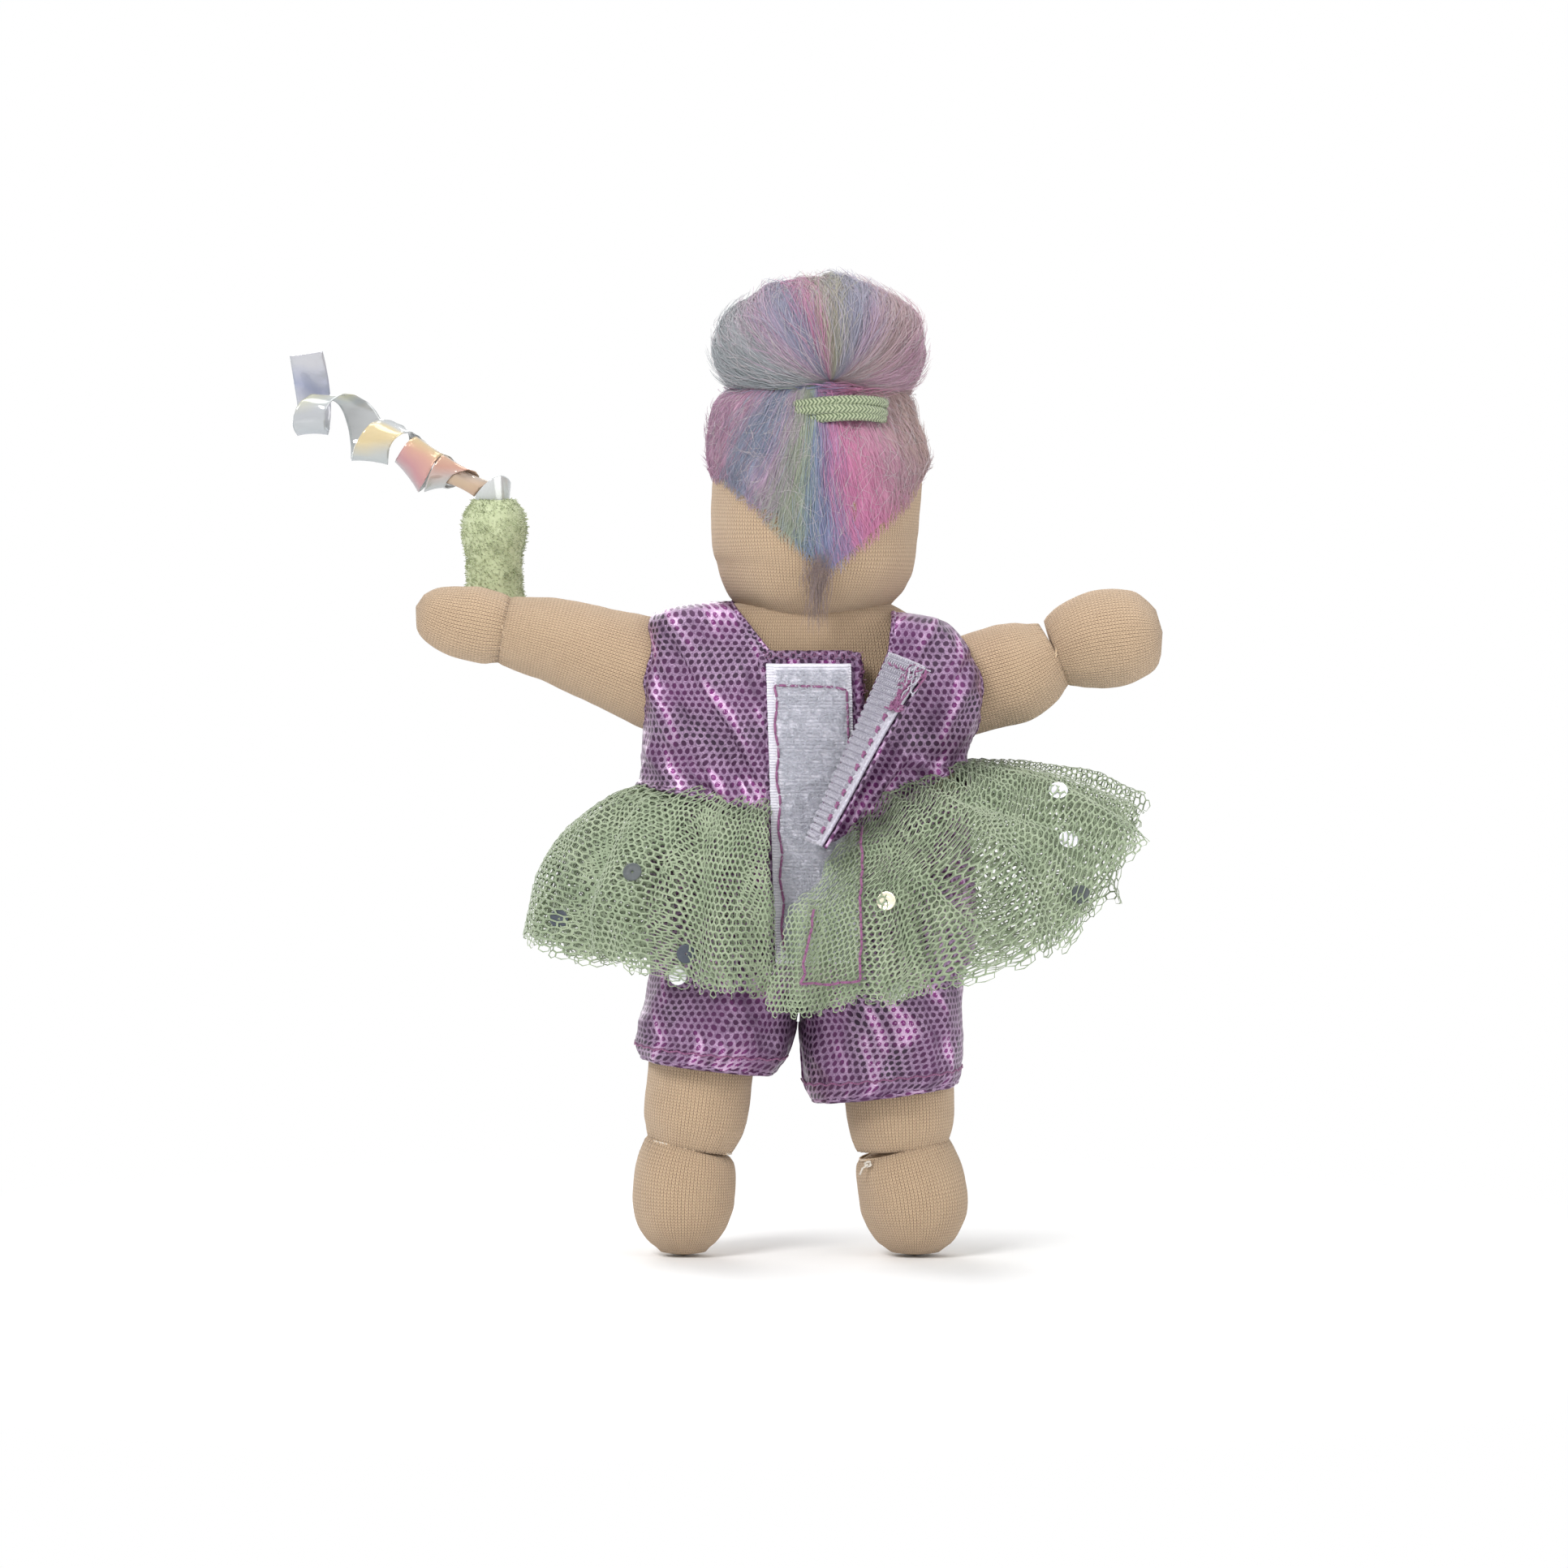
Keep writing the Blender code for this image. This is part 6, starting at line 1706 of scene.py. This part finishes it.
def build_hair_tie():
    """A doubled braided elastic, as two flattened rings with a knot at the back."""
    vertices, faces, uvs = [], [], []
    sides, around = 14, 220
    for centre, wide, deep, tilt in (
        (doll(-3.3, 8.9, 105.9), 5.6, 3.5, -0.03),
        (doll(-3.0, 9.0, 106.85), 6.0, 3.6, 0.01),
        (doll(-3.0, 8.9, 107.85), 6.1, 3.5, -0.02),
    ):
        base = len(vertices)
        for k in range(around):
            turn = TURN * k / around
            sine, cosine = math.sin(turn), math.cos(turn)
            sag = -0.45 * math.sin(turn + 0.5) * sine
            middle = centre + Vector((sine * wide, cosine * deep, tilt * wide * sine + sag + 0.3)) * MM
            out = Vector((sine / wide, cosine / deep, 0)).normalized()
            for i in range(sides):
                angle = TURN * i / sides
                off = out * math.cos(angle) * 0.5 + UP * math.sin(angle) * 0.62
                vertices.append(middle + off * MM * (1 + 0.05 * math.sin(57 * turn)))
        faces += ring_faces(base, around, sides, closed=True)
        for k in range(around):
            for i in range(sides):
                low, high = k * 0.33, (k + 1) * 0.33
                first, second = i / sides * 2, (i + 1) / sides * 2
                uvs += [(low, first), (low, second), (high, second), (high, first)]
    made = add_object("hair_tie_rings", vertices, faces, uvs, ELASTIC)
    outward(made)
    knot = []
    for k in range(16):
        turn = TURN * k / 16
        knot.append(doll(-2.6 + 0.9 * math.sin(turn), 12.65 + 0.1 * math.cos(turn), 107.1 + 0.3 * math.sin(2 * turn)))
    bead = twist_thread("hair_tie_knot", knot, 0.3 * MM, ELASTIC, closed=True)
    made = joined("hair_tie_elastic", [made, bead])
    rides(made, "head", "hair_tie", slot="elastic")


def build_wisp():
    """Loose hairs at the nape, from the tip of the hair down to the neck seam."""
    lines, places = [], []
    for _ in range(150):
        start = spot(1010 + random.gauss(0, 9), 690 + random.uniform(-12, 12), 13.6)
        end = spot(1002 + random.gauss(0, 9), random.uniform(712, 786), 10.2 + random.uniform(-0.4, 0.6))
        bow = random.gauss(0, 0.5) * MM
        points = []
        for k in range(8):
            t = k / 7
            point = start.lerp(end, t)
            point.y = MIDDLE.y + (13.7 - 3.3 * t**2.2) * MM + random.uniform(0, 0.05) * MM
            point.x += bow * math.sin(math.pi * t)
            points.append(point)
        lines.append(points)
        places.append((0.5, 0, 2))
    made = strokes("nape_wisp_hairs", lines, 0.055 * MM, NAPE, places)
    rides(made, "head", "nape_wisp", slot="hair_wool")


# Party popper


# The collar's upper edge: across and up, in millimetres
COLLAR_EDGE = [
    (38.2, 97.6), (38.8, 98.8), (39.5, 99.3), (40.4, 99.2), (41.2, 98.7), (42.2, 97.8), (43.5, 96.3),
]


def build_popper():
    centre = doll(40.7, -8.6, 0)
    table = [
        (79.0, 3.75), (80.5, 3.95), (83.0, 3.75), (86.0, 3.45), (89.0, 3.5), (91.0, 3.9), (93.0, 4.05),
        (94.6, 3.7), (95.6, 3.0), (96.2, 2.5), (95.6, 2.2), (93.0, 2.1),
    ]
    lengths = [0.0]
    for (z0, r0), (z1, r1) in zip(table, table[1:]):
        lengths.append(lengths[-1] + math.hypot(z1 - z0, r1 - r0))
    profile = [(l, z, r) for l, (z, r) in zip(lengths, table)]
    rows, uvs = [], []
    tall, sides = 80, 80
    for j in range(tall + 1):
        z, r = eased(profile, lengths[-1] * j / tall)
        row = []
        for i in range(sides):
            angle = TURN * i / sides
            lumpy = 0.18 * noise.noise(Vector((math.cos(angle) * 2.2, math.sin(angle) * 2.2, z / 2.0)))
            lumpy += 0.08 * noise.noise(Vector((math.cos(angle) * 7, math.sin(angle) * 7, z * 1.6)))
            reach = r + lumpy
            row.append(centre + Vector((reach * math.cos(angle), reach * math.sin(angle), z)) * MM)
        rows.append(row)
        uvs.append([(i / sides * 25, z) for i in range(sides + 1)])
    made = surface("popper_plush", rows, uvs, PLUSH, caps=(True, True))
    rides(made, "left_hand", "popper_sleeve", slot="plush")
    lines = []
    for _ in range(5200):
        t = random.uniform(0.02, 0.9)
        z, r = eased(profile, lengths[-1] * t)
        angle = random.uniform(0, 2 * math.pi)
        out = Vector((math.cos(angle), math.sin(angle), random.uniform(-0.3, 0.5)))
        root = centre + Vector((r * math.cos(angle), r * math.sin(angle), z)) * MM
        bend = Vector((random.gauss(0, 1), random.gauss(0, 1), random.gauss(0, 1))) * 0.12 * MM
        size = random.uniform(0.14, 0.3) * MM
        lines.append([root - out * 0.15 * MM, root + out * size * 0.5 + bend * 0.4, root + out * size + bend])
    made = strokes("popper_pile", lines, 0.1 * MM, PLUSH, taper=False)
    rides(made, "left_hand", slot="plush")

    rows, uvs = [], []
    for j in range(41):
        t = j / 40
        row = []
        for i in range(90):
            angle = TURN * i / 90
            crinkle = 0.1 * t * math.sin(3 * angle + 4 * t) + 0.04 * t * math.sin(11 * angle + 3 * t)
            reach = 2.25 + 0.1 * t + crinkle * 0.8
            x, y = 41.0 + reach * math.cos(angle), reach * 0.9 * math.sin(angle)
            peak = eased(COLLAR_EDGE, x)[0]
            row.append(doll(x, y - 9.0, 93.2 + (peak - 93.2) * t))
        rows.append(row)
        uvs.append([(i / 90, t) for i in range(91)])
    made = surface("popper_film_collar", rows, uvs, COLLAR)
    solid = made.modifiers.new("thickness", "SOLIDIFY")
    solid.thickness = 0.12 * MM
    apply_modifiers(made)
    rides(made, "left_hand", "popper_collar", slot="film")
    build_ribbon()


# The ribbon from its free end to the collar: the outer edge's place across and up, the inner edge's place
# across and up, and their depth, in shares of the ribbon's width from the middle of the collar's mouth
STREAMER_SHARES = [
    (6.16, 3.95, 5.16, 4.09, 0.05), (6.07, 3.14, 5.04, 3.32, -0.38), (5.98, 2.36, 4.98, 2.56, -0.59),
    (5.98, 1.83, 4.99, 1.92, -0.47), (5.94, 1.56, 5.02, 1.58, 0.00), (6.04, 1.89, 5.06, 1.97, 0.49),
    (5.87, 2.45, 4.95, 2.45, 0.56), (5.41, 2.79, 4.46, 2.80, 0.09), (4.77, 2.53, 3.85, 2.56, -0.47),
    (4.49, 1.92, 3.44, 2.00, -0.61), (4.37, 1.25, 3.26, 1.25, -0.49), (4.32, 0.80, 3.21, 0.68, 0.00),
    (4.16, 1.22, 3.10, 1.19, 0.54), (3.80, 1.78, 2.81, 1.54, 0.61), (3.38, 2.03, 2.43, 1.62, 0.07),
    (2.77, 1.83, 2.08, 1.25, -0.52), (2.61, 1.42, 1.93, 0.67, -0.68), (2.75, 1.03, 2.09, 0.08, -0.52),
    (2.99, 0.76, 2.29, -0.15, -0.02), (2.81, 1.03, 2.05, 0.21, 0.42), (2.57, 1.35, 1.75, 0.75, 0.45),
    (2.30, 1.49, 1.49, 0.96, 0.07), (1.90, 1.09, 1.14, 0.67, -0.40), (1.83, 0.36, 1.16, 0.07, -0.45),
    (2.11, -0.16, 1.49, -0.01, -0.02), (1.93, 0.36, 1.24, 0.33, 0.47), (1.57, 0.92, 0.76, 0.50, 0.41),
    (1.32, 0.78, 0.48, 0.36, 0.02), (1.36, 0.44, 0.51, 0.08, -0.24), (1.51, 0.16, 0.60, -0.28, -0.07),
    (1.24, 0.36, 0.37, -0.04, 0.26), (0.93, 0.50, 0.09, 0.13, 0.19),
]


def build_ribbon():
    """The film streamer: a tight curl that opens into loose loops with a straight end."""
    mouth = doll(40.7, -9.0, 97.9)
    wide = 4.25 * MM
    steps = 12
    path = []
    for ax, az, bx, bz, depth in smooth_path(STREAMER_SHARES, steps):
        outer, inner = Vector((ax, depth, az)) * wide, Vector((bx, depth, bz)) * wide
        path.append((mouth + (outer + inner) / 2, (inner - outer) / 2))
    last, way = path[-1]
    for near, drop in ((0.6, -0.1), (0.35, 0.24), (0.15, -0.7), (0.02, -2.6)):
        off = last - mouth
        path.append((mouth + Vector((off.x * near, off.y * near, drop * MM)), way.lerp(Vector((0, 1.2 * MM, 0)), 1 - near)))
    total = len(path)
    rows, uvs = [], []
    for k, (middle, half) in enumerate(path):
        ahead = path[min(k + 1, total - 1)][0] - path[max(k - 1, 0)][0]
        out = ahead.cross(half).normalized()
        row = []
        for i in range(13):
            s = i / 6 - 1
            cup = 0.16 * MM * (1 - s * s)
            wave = 0.05 * MM * math.sin(k * 0.9) * abs(s) ** 3
            row.append(middle + half * s + out * (cup + wave))
        rows.append(row)
        uvs.append([(i / 12, k / (total - 1)) for i in range(13)])
    made = cloth_piece("streamer_film_ribbon", rows, uvs, [], 0.1 * MM, RIBBON)
    rides(made, "left_hand", "streamer_ribbon", slot="film")


# Trim that stays as modelled, with its own finish


# Side, joint, body, photo column and row, radius in pixels, lean, and the arcs in degrees where white thread shows
CREASES = [
    ("left", "wrist", "forearm", 622, 776, 38.6, 0.27, []),
    ("right", "wrist", "forearm", 1299, 804, 39.5, -0.09, []),
    ("left", "ankle", "shin", 849, 1412, 51.0, 0.19, [(35, 62), (150, 170), (230, 262)]),
    ("right", "ankle", "shin", 1113, 1419, 54.5, -0.19, [(118, 140), (20, 34), (215, 244), (300, 316)]),
]


def build_creases():
    """The threads that gather the knit at wrists and ankles: sunk in the crease, in view for short parts."""
    for side, joint, body, x, z, radius, lean, seen in CREASES:
        wrist = joint == "wrist"
        way = Vector((math.sin(lean), 0, math.cos(lean))) if wrist else Vector((1, 0, lean))
        ring, shown = [], []
        for k in range(121):
            angle = math.radians(3 * k)
            white = any(low <= 3 * k <= high for low, high in seen)
            proud = 0.12 * MM if white or not seen else -0.16 * MM
            out = radius * PIXEL + proud + 0.04 * MM * math.sin(5 * angle)
            ring.append((white, spot(x, z) + way * math.cos(angle) * out + BACK * (math.sin(angle) * out * 0.96)))
        thread = twist_thread("strand", [point for _, point in ring[:-1]], 0.17 * MM, CREASE, closed=True)
        made = joined(f"{side}_{joint}_crease_thread", [thread])
        rides(made, f"{side}_{body}", f"{side}_{joint}_thread", slot="white_thread")
        for white, run in itertools.groupby(ring, lambda pair: pair[0]):
            if white:
                shown.append(twist_thread("strand", [point for _, point in run], 0.17 * MM, WHITE))
        if shown and side == "right":
            turns = np.arange(0, 6.28, 0.5)
            loop = [Vector((math.cos(a) * 0.34, 0.2 * math.sin(2 * a), math.sin(a) * 0.28)) * MM for a in turns]
            knot = [spot(1069, 1431, 4.6) + point for point in loop]
            shown.append(twist_thread("knot", knot, 0.2 * MM, WHITE, closed=True))
            end = [spot(1069, 1431, 4.8), spot(1062, 1436, 5.0), spot(1059, 1444, 4.9)]
            shown.append(twist_thread("end", end, 0.13 * MM, WHITE))
        if shown:
            made = joined(f"{side}_{joint}_white_thread", shown)
            rides(made, f"{side}_{body}", slot="white_thread")


def dress_nodes():
    """A finish for the solids that stay in view as they were modelled."""
    finishes = {"_wire": STEEL, "_stitch": MAUVE, "_thread": WHITE, "_eye": BEAD}
    for name, node in frame["nodes"].items():
        if node.hide_render:
            continue
        for ending, material in finishes.items():
            if name.endswith(ending):
                node.data.materials.clear()
                node.data.materials.append(material)


# Floor, light and camera


def build_stage():
    """A paper floor that turns white away from the doll, four soft lamps, a white world and the camera."""
    size = 3.0
    corners = [(-size, -size, 0), (size, -size, 0), (size, size, 0), (-size, size, 0)]
    floor = add_object("floor", corners, [(0, 1, 2, 3)], smooth=False)
    g = Graph("floor_paper")
    place = g.place()
    g.finish(g.mix(g.noise(place, 40, 3).range(0.3, 0.7), (0.9, 0.9, 0.9), (0.93, 0.93, 0.93)), 0.9)
    off = g.value("Value", "VectorMath", {0: place, 1: (0.0, 0.02, 0.0)}, operation="DISTANCE")
    far = g.value(0, "MapRange", {0: off, 1: 0.05, 2: 0.14}, interpolation_type="SMOOTHSTEP")
    glow = g.value(0, "Emission", {"Color": (1.0, 1.0, 1.0), "Strength": 1.0})
    g.blend_out(g.seen() * far, g.shader.outputs[0], glow)
    floor.data.materials.append(g.owner)

    world = bpy.context.scene.world = bpy.data.worlds.new("studio")
    g = Graph("studio", world)
    plain, white = (g.value(0, "Background", {0: (1, 1, 1), 1: strength}) for strength in (0.5, 1.0))
    g.blend_out(g.seen(), plain, white)
    g.tree.nodes.remove(g.tree.nodes["Background"])

    for name, place, power, size in (
        ("key", (0.5, 0.75, 0.8), 8.0, 0.4),
        ("fill", (-0.7, 0.6, 0.35), 3.0, 0.6),
        ("top", (0.0, -0.1, 0.9), 3.5, 0.6),
        ("front", (0.3, -0.9, 0.4), 5.0, 0.6),
    ):
        data = bpy.data.lights.new(name, "AREA")
        data.energy = power
        data.size = size
        aimed(bpy.data.objects.new(name, data), Vector(place), Vector((0, 0, 0.06)))
    bpy.context.scene.view_settings.view_transform = "Standard"

    camera = bpy.data.cameras.new("camera")
    camera.lens = 120
    camera.sensor_width = 36
    camera.clip_start = 0.01
    camera.clip_end = 10
    distance = PHOTO * PIXEL / 2 / (camera.sensor_width / 2 / camera.lens)
    middle = spot(PHOTO / 2, PHOTO / 2)
    lift = math.radians(2)
    place = middle + Vector((0, math.cos(lift), math.sin(lift))) * distance
    bpy.context.scene.camera = aimed(bpy.data.objects.new("camera", camera), place, middle)


def aimed(made, place, target):
    """Adds a lamp or camera at a place, turned to a target."""
    made.location = place
    made.rotation_euler = (target - Vector(place)).to_track_quat("-Z", "Y").to_euler()
    bpy.context.scene.collection.objects.link(made)
    return made


build_stage()
build_skin()
bodice_half("left")
bodice_half("right")
build_seat()
shorts("left")
shorts("right")
build_placket()
build_tape()
build_flap()
build_skirt()
build_skirt_stitches()
build_sequins()
build_creases()
build_hair()
build_popper()
dress_nodes()
